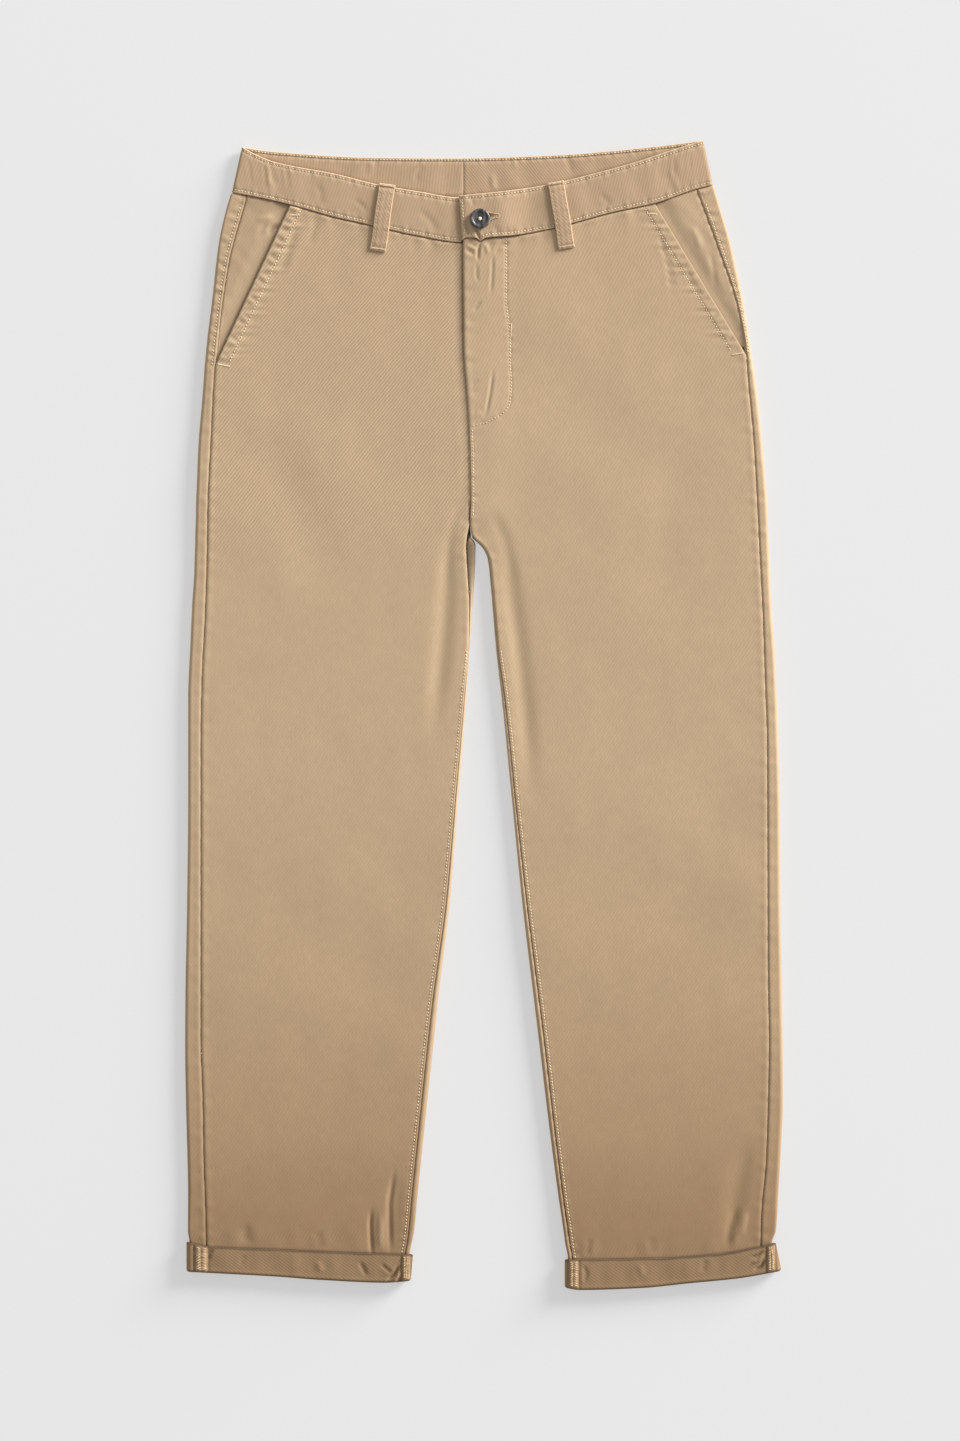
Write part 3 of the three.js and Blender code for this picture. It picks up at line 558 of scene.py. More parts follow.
@dataclass(frozen=True)
class Leg:
    """One leg as a flattened tube whose width and edges follow the tables.

    side is 1 where the leg's outer side is towards +X. closing is the range of Y in which the
    back panel turns from the centre back seam round the inseam fold. bars holds both ends of
    each bartack.
    """

    name: str
    side: int
    outline: tuple[tuple[float, ...], ...]
    outseam: Curve
    slant: Curve
    pocket_end: float
    band_lower: Curve
    waist_limit: float
    cuff_upper: Curve
    cuff_lower: Curve
    closing: Pair
    bars: tuple[tuple[Pair, Pair], ...]

    @property
    def outer(self) -> Curve:
        """X of the side fold."""
        return columns(self.outline, 1)

    @property
    def inner(self) -> Curve:
        """X of the inseam fold."""
        return columns(self.outline, 2)

    @property
    def front(self) -> Curve:
        """X of the front panel's inner edge."""
        return columns(self.outline, 3)

    def section(self, y: Array) -> Arrays:
        """Width, fold radius, quarter of a fold and level length of the tube at y.

        Args:
            y: Y of the places.

        Returns:
            Those four, in that order.
        """
        width = np.abs(self.outer(y) - self.inner(y))
        radius = (face(y) - underside(y)) / 2.0
        return width, radius, math.pi * radius / 2.0, width - 2.0 * radius

    def arc_on_top(self, y: Array, x: Array) -> Array:
        """Length round the tube from the inner fold to x on the top, along the fold or level.

        Args:
            y: Y of the places.
            x: X of the places.

        Returns:
            Lengths.
        """
        _, radius, quarter, _ = self.section(y)
        d = np.maximum(0.0, self.side * (x - self.inner(y)))
        on_fold = radius * np.arccos(np.clip(1.0 - d / radius, -1.0, 1.0))
        return np.where(d < radius, on_fold, quarter + d - radius)

    def lift(self, x: Array, y: Array) -> Array:
        """Height added along the fly: up on the lapping front, down on the one under it.

        Args:
            x: X of the places.
            y: Y of the places.

        Returns:
            Heights.
        """
        lapping = smooth(160, 186, y)
        beyond = x - LAP_EDGE(y)
        if self.side > 0:
            return LAP_LIFT * lapping * (1 - smooth(14, 50, beyond))
        return -LAP_DIP * lapping * smooth(-12, -1.5, beyond)

    def point(self, arc: Array, y: Array) -> Array:
        """Point of the leg's outer face, with its folds.

        Args:
            arc: Length round the tube.
            y: Height.

        Returns:
            Points.
        """
        width, radius, _, _ = self.section(y)
        d, h = tube(width, radius, arc)
        x = self.inner(y) + self.side * d
        on_top = np.maximum(0.0, h / radius - 1.0)
        z = underside(y) + h + on_top * (relief(x, y) + creasing(x, y) + self.lift(x, y))
        return np.stack([x, y + 0.0 * x, z], axis=-1)

    def closed(self, y: Array) -> Array:
        """How far the back has turned from the centre back seam round the inseam fold, to 1."""
        return 1 - smooth(self.closing[1], self.closing[0], y)

    def below_band(self, x: Array, y: Array) -> Array:
        """Distance of places on the top layer down from the waistband's seam."""
        return self.band_lower(np.minimum(x, self.waist_limit)) - WAIST_GAP - y

    def row_height(self, row: Array, x: Array, on_top: Array) -> Array:
        """Height of a row where it passes x: bent to the waistband above and to the hem below.

        Args:
            row: Height of the row, unbent.
            x: X of the places.
            on_top: Whether they lie on the top layer.

        Returns:
            Heights.
        """
        limit = np.minimum(x, self.waist_limit)
        waist = np.where(on_top, self.band_lower(limit), BACK_BAND_LOWER(x))
        upwards_by, downwards_by = row - BENT_TO_WAIST, BENT_TO_HEM - row
        top = np.clip(upwards_by / (ROW_TOP - BENT_TO_WAIST), 0, 1)
        hem = np.clip(downwards_by / (BENT_TO_HEM - ROW_END), 0, 1)
        top = (waist - WAIST_GAP - ROW_TOP) * top
        return row + top + (self.cuff_lower(x) + IN_HEM - ROW_END) * hem

    def grid(self, arcs: Callable[[Array], Array]) -> Arrays:
        """Lengths round the tube and heights of a panel's grid.

        Each row's height depends on x and its lengths on the height, so both are worked out four
        times over.

        Args:
            arcs: Gives lengths of shape (rows, columns) for heights of the same or one column.

        Returns:
            Arcs and heights, both of shape (rows, columns).
        """
        rows = panel_rows()[:, None]
        arc = arcs(rows)
        y = rows + 0.0 * arc
        for _ in range(4):
            _, _, quarter, flat = self.section(y)
            x = self.point(arc, y)[..., 0]
            y = self.row_height(rows, x, arc < 2 * quarter + flat)
            arc = arcs(y)
        return arc, y


RIGHT_LEG = Leg(
    name="right", side=-1, outline=RIGHT_OUTLINE, outseam=RIGHT_OUTSEAM,
    slant=Curve(((315.4, -241.8), (458, -175), (480, -164.7))),
    pocket_end=318.5,
    band_lower=RIGHT_BAND_LOWER, waist_limit=-21.2,
    cuff_upper=RIGHT_CUFF_UPPER, cuff_lower=RIGHT_CUFF_LOWER, closing=(166.5, 154.8),
    bars=(((-174.5, 449.5), (-166.5, 449.5)), ((-239.0, 315.5), (-229.0, 313.5))),
)
LEFT_LEG = Leg(
    name="left", side=1, outline=LEFT_OUTLINE, outseam=LEFT_OUTSEAM,
    slant=Curve(((325.8, 234.9), (459.7, 154.2), (480, 142.0))),
    pocket_end=329.0,
    band_lower=LEFT_BAND_LOWER, waist_limit=1000.0,
    cuff_upper=LEFT_CUFF_UPPER, cuff_lower=LEFT_CUFF_LOWER, closing=(160.3, 149.5),
    bars=(
        ((147.0, 451.0), (155.0, 450.5)), ((223.5, 324.0), (233.5, 325.5)),
        ((24.3, 341.0), (24.3, 352.0)),
    ),
)


# ---- Meshes ----


def grid_faces(rows: int, cols: int, start: int = 0, wrap: bool = False) -> Array:
    """Quads between neighbouring points of a grid stored row by row.

    Args:
        rows: Number of rows.
        cols: Number of columns.
        start: Index of the grid's first point.
        wrap: Whether the last column is joined to the first.

    Returns:
        Indices of shape (quads, 4).
    """
    j, k = np.meshgrid(np.arange(rows - 1), np.arange(cols if wrap else cols - 1), indexing="ij")
    here, beside = j * cols + k, j * cols + (k + 1) % cols
    quads = np.stack([here, beside, beside + cols, here + cols], -1)
    return quads.reshape(-1, 4) + start


def shell_faces(rows: int, cols: int) -> Array:
    """Quads of a closed shell: an outer grid, an inner grid turned over and the rim between.

    Args:
        rows: Number of rows.
        cols: Number of columns.

    Returns:
        Indices of shape (quads, 4).
    """
    inner = rows * cols
    outer_faces = grid_faces(rows, cols)
    inner_faces = grid_faces(rows, cols, inner)[:, ::-1]
    border = np.concatenate([
        np.arange(cols), np.arange(1, rows) * cols + cols - 1,
        (rows - 1) * cols + np.arange(cols - 2, -1, -1), np.arange(rows - 2, 0, -1) * cols,
    ])
    after = np.roll(border, -1)
    rim = np.stack([after, border, border + inner, after + inner], -1)
    return np.concatenate([outer_faces, inner_faces, rim])


def volume_of(points: Array, quads: Array) -> float:
    """Signed volume of a closed mesh: a sixth of the sum of a . (b x c) over its triangles.

    Args:
        points: Points of shape (count, 3).
        quads: Indices of shape (quads, 4).

    Returns:
        Volume in the points' unit cubed.
    """
    a, b, c, d = (points[quads[:, i]] for i in range(4))
    total = np.einsum("ij,ij->i", a, np.cross(b, c)) + np.einsum("ij,ij->i", a, np.cross(c, d))
    return float(total.sum()) / 6.0


def build_mesh(
    name: str, points: Array, quads: Array, finish: "Finish", weave: Array | None = None,
    wear_and_shade: Array | None = None,
) -> bpy.types.Object:
    """Make one object from points in millimetres, at the origin, with its faces outwards.

    Args:
        name: Name of the piece.
        points: Points of shape (count, 3), in millimetres.
        quads: Indices of shape (quads, 4). A triangle repeats its last index.
        finish: Finish that dresses it.
        weave: For each point its place on the cloth in millimetres, for the UV map.
        wear_and_shade: For each point its tone: paler up to 1 where edges have rubbed and where
            highlights are painted, darker down to -2 with painted shade.

    Returns:
        The object.
    """
    if volume_of(points, quads) < 0:
        quads = quads[:, ::-1]
        triangle = quads[:, 0] == quads[:, 1]
        quads = np.where(triangle[:, None], np.roll(quads, -1, axis=1), quads)
    triangle = quads[:, 2] == quads[:, 3]
    sizes = np.where(triangle, 3, 4)
    keep = np.ones(quads.shape, bool)
    keep[triangle, 3] = False
    corners = quads[keep]
    starts = np.concatenate([[0], np.cumsum(sizes)[:-1]])
    mesh = bpy.data.meshes.new(name)
    mesh.vertices.add(len(points))
    mesh.vertices.foreach_set("co", (points * MM).astype(np.float32).ravel())
    mesh.loops.add(len(corners))
    mesh.loops.foreach_set("vertex_index", corners.astype(np.int32))
    mesh.polygons.add(len(quads))
    mesh.polygons.foreach_set("loop_start", starts.astype(np.int32))
    mesh.polygons.foreach_set("use_smooth", np.ones(len(quads), bool))
    mesh.update(calc_edges=True)
    mesh.validate()
    if weave is not None:
        layer = mesh.uv_layers.new(name="weave")
        layer.data.foreach_set("uv", (weave[corners] * MM).astype(np.float32).ravel())
    # tones: paler where rubbed and where highlights are painted, darker with painted shade
    rubbed = np.zeros(len(points)) if wear_and_shade is None else np.clip(wear_and_shade, -2.0, 1.0)
    attribute = mesh.attributes.new("wear_and_shade", "FLOAT", "POINT")
    attribute.data.foreach_set("value", rubbed.astype(np.float32))
    mesh.materials.append(finish.material())
    made = bpy.data.objects.new(name, mesh)
    bpy.context.scene.collection.objects.link(made)
    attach(made, BODY)
    LOG.info("%s: %d points, %d faces", name, len(points), len(quads))
    return made


def quads_area(points: Array, quads: Array) -> float:
    """Area in square metres of quads: half the cross product of each one's diagonals.

    Args:
        points: Points of shape (..., 3), in millimetres.
        quads: Indices of shape (quads, 4).

    Returns:
        Sum over the quads.
    """
    a, b, c, d = (points.reshape(-1, 3)[quads[:, i]] for i in range(4))
    return float(np.linalg.norm(np.cross(c - a, d - b), axis=1).sum()) / 2.0 * MM * MM


def build_sheet(
    name: str, node: str, points: Array, quads: Array, finish: "Finish", weave: Array,
    wear_and_shade: Array, **cut: Any,
) -> None:
    """Make one piece of cloth, hide the solid that it stands for and log its area.

    Args:
        name: Name of the piece.
        node: Node of the solids that it stands for.
        points: Points of shape (..., 3), in millimetres.
        quads: Indices of shape (quads, 4).
        finish: Finish that dresses it.
        weave: Places on the cloth of shape (..., 2), in millimetres.
        wear_and_shade: Tone at each point.
    """
    flat_points = points.reshape(-1, 3)
    made = build_mesh(name, flat_points, quads, finish, weave.reshape(-1, 2), wear_and_shade.ravel())
    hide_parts(node)
    LOG.info("%s: %.4f square metres", name, cut["area"])


# ---- Finishes ----


def linear(colour: str) -> tuple[float, float, float, float]:
    """Turn an sRGB hex colour to linear values with full alpha.

    Args:
        colour: Six hex digits.

    Returns:
        Red, green, blue and alpha.
    """
    parts = [int(colour[i : i + 2], 16) / 255.0 for i in (0, 2, 4)]
    values = [p / 12.92 if p <= 0.04045 else ((p + 0.055) / 1.055) ** 2.4 for p in parts]
    return values[0], values[1], values[2], 1.0


def add_node(
    tree: bpy.types.NodeTree, kind: str, inputs: dict[Any, Any] | None = None,
    stops: Sequence[tuple[float, Any]] = (), out: int | str = 0, **settings: Any,
) -> Any:
    """Add a node with its settings and links.

    Args:
        tree: Node tree of a material or world.
        kind: Blender's name for the node, without ShaderNode in front.
        inputs: Value or socket for each input, by name or number; a socket is linked.
        stops: Positions and colours, where the node has a colour ramp.
        out: Name or number of the output that is wanted.
        settings: Properties of the node.

    Returns:
        That output's socket, or None for a node without outputs.
    """
    made = tree.nodes.new("ShaderNode" + kind)
    for name, value in settings.items():
        setattr(made, name, value)
    for key, value in (inputs or {}).items():
        if isinstance(value, bpy.types.NodeSocket):
            tree.links.new(value, made.inputs[key])
        else:
            made.inputs[key].default_value = value
    for i, (place, colour) in enumerate(stops):
        elements = made.color_ramp.elements
        stop = elements[i] if i < len(elements) else elements.new(place)
        stop.position = place
        stop.color = colour
    return made.outputs[out] if made.outputs else None


class Slot(Enum):
    """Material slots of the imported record."""

    TWILL = "twill"
    BAND = "band_twill"
    REVERSE = "twill_reverse"
    BUTTON = "button"


@dataclass(frozen=True)
class Finish:
    """A material made once and shared by the pieces that have it."""

    name: str
    where: Slot

    @property
    def slot(self) -> str:
        """Name of the record's slot."""
        return self.where.value

    def material(self) -> bpy.types.Material:
        """Give the material, making it at the first call."""
        found = bpy.data.materials.get(self.name)
        return found if found else self.make()

    def fresh(self) -> tuple[bpy.types.Material, Callable[..., Any]]:
        """Make an empty node material of this name, and give add_node for its tree.

        Returns:
            The material and the function.
        """
        made = bpy.data.materials.new(self.name)
        made.use_nodes = True
        made.node_tree.nodes.clear()
        return made, partial(add_node, made.node_tree)

    def make(self) -> bpy.types.Material:
        """Make the material."""
        raise NotImplementedError


@dataclass(frozen=True)
class Twill(Finish):
    """Garment-washed cotton twill, woven and brushed by use: matt, a diagonal of fine wales,
    washed out unevenly, paler where an edge rubs, with painted shade and painted highlights.

    fade holds heights along the trousers in metres with sRGB colours, darker towards the hems:
    partly washed-out dye, partly a painted fall-off of the light. wale_pitch is the distance
    between wales in millimetres: twice the real one, which is too fine to show in the render.
    shown_from holds the heights between which the wales grow from faint to full.
    """

    fade: tuple[tuple[float, str], ...]
    wale_pitch: float = 2.5
    wale_angle: float = 36.0
    wale_depth: float = 0.03
    yarn_depth: float = 0.10
    shown_from: Pair = (-2.0, -1.0)
    # rubbed is the colour of rubbed edges; painted highlights also rise towards it
    rubbed: str = "d8bf9f"
    roughness: float = 0.92
    weave_bump: float = 0.25

    def make(self) -> bpy.types.Material:
        """Wales and yarn on the UV map, mottling and the darkening towards the hems on Object
        coordinates, painted shade and painted highlights from the point tones.

        Returns:
            The material.
        """
        made, node = self.fresh()
        cloth, place = node("UVMap", uv_map="weave"), node("TexCoord", out="Object")
        turn = (0.0, 0.0, math.radians(self.wale_angle))
        turned = node("Mapping", {"Vector": cloth, "Rotation": turn})
        # wave bands repeat every 2 pi / 20 of the vector
        wales = node("TexWave", {
            "Vector": turned, "Scale": 2 * math.pi / 20 / (self.wale_pitch * MM),
            "Distortion": 1.6, "Detail": 2.0, "Detail Scale": 0.7, "Detail Roughness": 0.6,
        }, out="Fac")
        # yarn: slubs about 1 mm across and 6 mm long on the warp
        stretched = node("Mapping", {"Vector": cloth, "Scale": (1.0, 0.18, 1.0)})
        yarn = node("TexNoise", {
            "Vector": stretched, "Scale": 620.0, "Detail": 2.0, "Roughness": 0.6,
        })
        # washed-in mottling, patches of about 12 and 60 mm
        mottling = {"Vector": place, "Roughness": 0.55}
        fine_mottle = node("TexNoise", mottling | {"Scale": 85.0, "Detail": 3.0})
        mottle = node("TexNoise", mottling | {"Scale": 14.0, "Detail": 4.0})
        # Map Range takes its limits at inputs 1 to 4
        low, high = self.fade[0][0], self.fade[-1][0]
        along = node("SeparateXYZ", {"Vector": place}, out="Y")
        share = node("MapRange", {"Value": along, 1: low, 2: high, 3: 0.0, 4: 1.0})
        stops = [((y - low) / (high - low), linear(colour)) for y, colour in self.fade]
        # darker towards the hems: partly washed-out dye, partly a painted fall-off of the light
        dye = node("ValToRGB", {"Fac": share}, stops)
        # paler in patches where the tones rise, for rubbed edges and painted highlights;
        # Mix has its colours at inputs 6 and 7 and output 2
        worn_and_shaded = node("Attribute", out="Fac", attribute_name="wear_and_shade", attribute_type="GEOMETRY")
        patchy = node("Math", {0: fine_mottle, 1: 0.55, 2: 0.25}, operation="MULTIPLY_ADD")
        paler_share = node("Math", {0: worn_and_shaded, 1: patchy}, operation="MULTIPLY", use_clamp=True)
        mixed = {"Factor": paler_share, 6: dye, 7: linear(self.rubbed)}
        base = node("Mix", mixed, out=2, data_type="RGBA")
        # each pattern swings the tone by its depth around 1, the wales by as much as they show
        low, high = self.shown_from
        shown = node("MapRange", {"Value": along, 1: low, 2: high, 3: 0.2, 4: 1.0})
        swing = {0: wales, 1: 2 * self.wale_depth, 2: -self.wale_depth}
        swing = node("Math", swing, operation="MULTIPLY_ADD")
        light = node("Math", {0: swing, 1: shown, 2: 1.0}, operation="MULTIPLY_ADD")
        factors = [
            node("Math", {0: pattern, 1: 2 * depth, 2: 1.0 - depth}, operation="MULTIPLY_ADD")
            for pattern, depth in ((yarn, self.yarn_depth), (fine_mottle, 0.05), (mottle, 0.05))
        ]
        # painted shade: tones below 0 darken the cloth, down to 0.24 of its colour at -2
        painted_shade = node("MapRange", {"Value": worn_and_shaded, 1: -2.0, 2: 0.0, 3: 0.24, 4: 1.0})
        for factor in (*factors, painted_shade):
            light = node("Math", {0: light, 1: factor}, operation="MULTIPLY")
        shaded = node("VectorMath", {0: base, "Scale": light}, operation="SCALE")
        height = node("Math", {0: yarn, 1: 0.7, 2: wales}, operation="MULTIPLY_ADD")
        bump = node("Bump", {"Height": height, "Strength": self.weave_bump, "Distance": 0.0002})
        shader = node("BsdfPrincipled", {
            "Base Color": shaded, "Roughness": self.roughness, "Specular IOR Level": 0.25,
            "Sheen Weight": 0.12, "Sheen Roughness": 0.5, "Normal": bump,
        })
        node("OutputMaterial", {"Surface": shader})
        return made


@dataclass(frozen=True)
class Thread(Finish):
    """Spun polyester sewing thread: a fine matt ply, a little shinier than the cloth."""

    colour: str
    shadow: str

    def make(self) -> bpy.types.Material:
        """Colour that changes from stitch to stitch, on Object coordinates.

        Returns:
            The material.
        """
        made, node = self.fresh()
        place = node("TexCoord", out="Object")
        # patches of about 5 mm, so that neighbouring stitches differ
        patches = node("TexNoise", {"Vector": place, "Scale": 210.0, "Detail": 2.0})
        stops = [(0.32, linear(self.shadow)), (0.66, linear(self.colour))]
        colour = node("ValToRGB", {"Fac": patches}, stops)
        # the ply's turns, 0.4 mm apart
        ply = node("TexNoise", {"Vector": place, "Scale": 2500.0, "Detail": 1.0})
        bump = node("Bump", {"Height": ply, "Strength": 0.3, "Distance": 0.0001})
        shader = node("BsdfPrincipled", {
            "Base Color": colour, "Roughness": 0.7, "Specular IOR Level": 0.35, "Normal": bump,
        })
        node("OutputMaterial", {"Surface": shader})
        return made


@dataclass(frozen=True)
class Horn(Finish):
    """Cast polyester resin with a horn marbling, tumbled: satin, dark, with brown clouds."""

    dark: str = "242325"
    middle: str = "4a474a"
    pale: str = "857b72"

    def make(self) -> bpy.types.Material:
        """Clouds drawn out across the button, on Object coordinates.

        Returns:
            The material.
        """
        made, node = self.fresh()
        place = node("TexCoord", out="Object")
        drawn = node("Mapping", {
            "Vector": place, "Rotation": (0.0, 0.0, 0.7), "Scale": (1.0, 0.45, 1.0),
        })
        # clouds of about 5 mm
        clouds = node("TexNoise", {
            "Vector": drawn, "Scale": 190.0, "Detail": 4.0, "Distortion": 1.2,
        })
        tones = ((0.30, self.dark), (0.52, self.middle), (0.72, self.pale))
        stops = [(at, linear(tone)) for at, tone in tones]
        colour = node("ValToRGB", {"Fac": clouds}, stops)
        scratches = node("TexNoise", {"Vector": place, "Scale": 900.0, "Detail": 3.0})
        bump = node("Bump", {"Height": scratches, "Strength": 0.1, "Distance": 0.0001})
        shader = node("BsdfPrincipled", {
            "Base Color": colour, "Roughness": 0.38, "IOR": 1.54, "Normal": bump,
        })
        node("OutputMaterial", {"Surface": shader})
        return made


# Heights in metres with the cloth's colour there, darker towards the hems: partly
# washed-out dye, partly a painted fall-off of the light
TWILL = Twill("washed_cotton_twill", Slot.TWILL, (
    (-0.52, "9b7d5d"), (-0.45, "9e8060"), (-0.38, "ac8f6e"), (-0.25, "b99d7c"),
    (-0.05, "c1a685"), (0.25, "c2a786"), (0.50, "c1a584"),
))
# The right front's copy: its wales drawn in stronger tone, as painted shading where the key light
# crosses them
CROSS_LIT_TWILL = replace(
    TWILL, name="washed_cotton_twill_cross_lit", wale_depth=0.15, shown_from=(0.12, 0.19)
)
BAND_TWILL = Twill(
    "washed_cotton_twill_doubled", Slot.BAND, ((-0.52, "bc9f80"), (0.50, "bc9f80")),
    wale_angle=20.0, wale_depth=0.04, weave_bump=0.2,
)
REVERSE_TWILL = Twill(
    "cotton_twill_reverse", Slot.REVERSE, ((-0.52, "977a5b"), (-0.45, "977b5c")),
    wale_pitch=2.2, wale_angle=-54.0, wale_depth=0.04, rubbed="b89a78",
)
THREAD = Thread("topstitching_thread", Slot.TWILL, "efdcbc", "d9c09b")
BAND_THREAD = Thread("band_topstitching_thread", Slot.BAND, "efdcbc", "d9c09b")
EDGE_THREAD = Thread("overlock_thread", Slot.REVERSE, "dcc19c", "bfa27e")
LOOP_TWILL = replace(
    BAND_TWILL, name="washed_cotton_twill_loops", wale_depth=0.02, wale_angle=36.0
)
LOOP_THREAD = Thread("tonal_topstitching_thread", Slot.BAND, "d6bb99", "bfa283")
PURL_THREAD = Thread("buttonhole_thread", Slot.BAND, "dfc5a2", "b39572")
BUTTON_THREAD = Thread("button_thread", Slot.BUTTON, "f4efe4", "dad2c2")
HORN = Horn("horn_effect_resin", Slot.BUTTON)


# ---- Sewing ----

Track = tuple[Array, Array]  # points of shape (count, 3) and the surface's normals there


@dataclass
class Stitching:
    """Topstitching: short capsules of thread, one after another along tracks on the cloth."""

    name: str
    finish: Finish
    pitch: float = STITCH_PITCH
    length: float = STITCH_LENGTH
    width: float = STITCH_WIDTH
    sunk: float = 0.1
    points: list[Array] = field(default_factory=list)
    count: int = 0

    RINGS = (0.0, 0.16, 0.5, 0.84, 1.0)
    SIDES = 6

    def add_track(self, track: Track, sway: float = 0.12, seed: float = 0.0) -> None:
        """Sew along a track: stitches at the pitch, each from its start to its end on the track.

        Args:
            track: Points along the seam and the normals there.
            sway: How far stitches wander sideways, in millimetres.
            seed: Shifts the wander.
        """
        points, normals = track
        steps = reached(points)
        total = float(steps[-1])
        count = int(total // self.pitch)
        if count < 1:
            return
        begin = (np.arange(count) + 0.5) * (total / count) - self.length / 2.0
        ends = np.stack([begin, begin + self.length], axis=1)
        place, up = (
            np.stack([np.interp(ends, steps, values[:, i]) for i in range(3)], axis=-1)
            for values in (points, normals)
        )
        side = np.cross(up.mean(axis=1), place[:, 1] - place[:, 0])
        side /= np.maximum(np.linalg.norm(side, axis=1, keepdims=True), 1e-9)
        wander = sway * ripple(begin, 11.0, seed)[:, None]
        self.add_spans(place[:, 0] + wander * side, place[:, 1], up.mean(axis=1))

    def add_spans(self, start: Array, end: Array, up: Array) -> None:
        """Lay one stitch between each pair of points.

        A stitch is a tube of six sides whose rings swell by the root of the sine along it and
        whose middle arches up by a third of its width.

        Args:
            start: Points of shape (count, 3).
            end: Points of shape (count, 3).
            up: Normals of shape (count, 3).
        """
        t = np.array(self.RINGS)
        along = end - start
        up = up / np.linalg.norm(up, axis=1, keepdims=True)
        side = np.cross(up, along)
        side /= np.maximum(np.linalg.norm(side, axis=1, keepdims=True), 1e-9)
        swell = np.sqrt(np.sin(np.pi * (0.06 + 0.88 * t)))
        arch = self.width * (0.75 * np.sin(np.pi * t) - 0.25) - self.sunk
        angle = 2 * np.pi * np.arange(self.SIDES) / self.SIDES
        centre = start[:, None] + along[:, None] * t[:, None] + up[:, None] * arch[:, None]
        round_ = (self.width / 2) * swell[:, None]
        ring = (
            side[:, None, None] * (round_ * np.cos(angle))[..., None]
            + up[:, None, None] * (0.8 * round_ * np.sin(angle))[..., None]
        )
        self.points.append((centre[:, :, None] + ring).reshape(-1, 3))
        self.count += len(start)

    def build(self) -> None:
        """Join the stitches in one mesh, each closed by two quads at both ends."""
        rings, sides = len(self.RINGS), self.SIDES
        first = np.array([[3, 2, 1, 0], [5, 4, 3, 0]])
        last = (rings - 1) * sides + np.array([[0, 1, 2, 3], [0, 3, 4, 5]])
        one = np.concatenate([grid_faces(rings, sides, wrap=True), first, last])
        starts = np.arange(self.count)[:, None, None] * (rings * sides)
        quads = (one[None] + starts).reshape(-1, 4)
        build_mesh(self.name, np.concatenate(self.points), quads, self.finish)


def build_sewing(
    name: str, finish: Finish, sew: Callable[[Stitching], None], **sizes: float
) -> None:
    """Let a sub-assembly sew its rows or bars, and build them as one piece.

    Args:
        name: Name of the piece.
        finish: Thread.
        sew: Method that adds the stitches.
        sizes: Sizes of the stitches that differ from the usual ones.
    """
    thread = Stitching(name, finish, **sizes)
    sew(thread)
    thread.build()


# ---- Legs ----


def seam_relief(away: Array, along: Array, stitch: float, seed: float, lift: float) -> Array:
    """Height of the cloth beside a topstitched edge.

    The edge rolls off, the allowance lifts the cloth up to the stitches, the stitches sink a
    groove and short puckers run across.

    Args:
        away: Distance from the edge.
        along: Distance along it.
        stitch: Distance of the stitches from the edge.
        seed: Shifts the puckers.
        lift: Rise over the allowance.

    Returns:
        Heights.
    """
    roll = -0.4 * (1 - smooth(0.0, 1.2, away))
    allowance = lift * (1 - smooth(stitch + 0.2, stitch + 2.2, away))
    groove = -0.4 * bell(away - stitch, 0.95)
    drawn = bell(away - 0.9 * stitch, 0.65 * stitch + 1.6)
    return roll + allowance + groove + 0.34 * ripple(along, 8.0, seed) * drawn


def plain_relief(away: Array, along: Array, seed: float) -> Array:
    """Height beside a seam without stitches on the face: edge rolled off, low soft puckers.

    Args:
        away: Distance from the seam.
        along: Length along it.
        seed: Shifts the waves.

    Returns:
        Heights.
    """
    roll = -0.5 * (1 - smooth(0.0, 1.6, away))
    pucker = 0.2 * ripple(along, 13.0, seed) * bell(away - 3.0, 4.5)
    return roll + 0.12 * bell(away - 2.8, 2.4) + pucker


def tucked(away: Array) -> Array:
    """Depth of the cloth that turns down into a seam: level at 0.5 mm, down by TUCK beyond it."""
    return -TUCK * (1 - smooth(-1.2, 0.5, away))


def seam_shade_and_wear(away: Array, stitch: float | None = None, right: bool = False) -> Array:
    """Tone beside a seam: painted shade in its groove and under its stitches, paler on the ridge
    where it has rubbed.

    Args:
        away: Distance from the seam.
        stitch: Distance of the stitches from it, where there are any.
        right: Whether the cloth turns down to the right there, towards the key light: painted
            shade takes the place of the pale ridge.

    Returns:
        From -1, dark, to 1, rubbed pale.
    """
    tone = 0.4 * bell(away - 1.3, 1.2) - 0.5 * bell(away, 0.7)
    if right:
        tone = -0.9 * bell(away - 0.5, 1.2)
    if stitch is not None:
        tone = tone - 0.35 * bell(away - stitch, 0.9) + 0.15 * bell(away - stitch - 2.2, 1.4)
    return tone


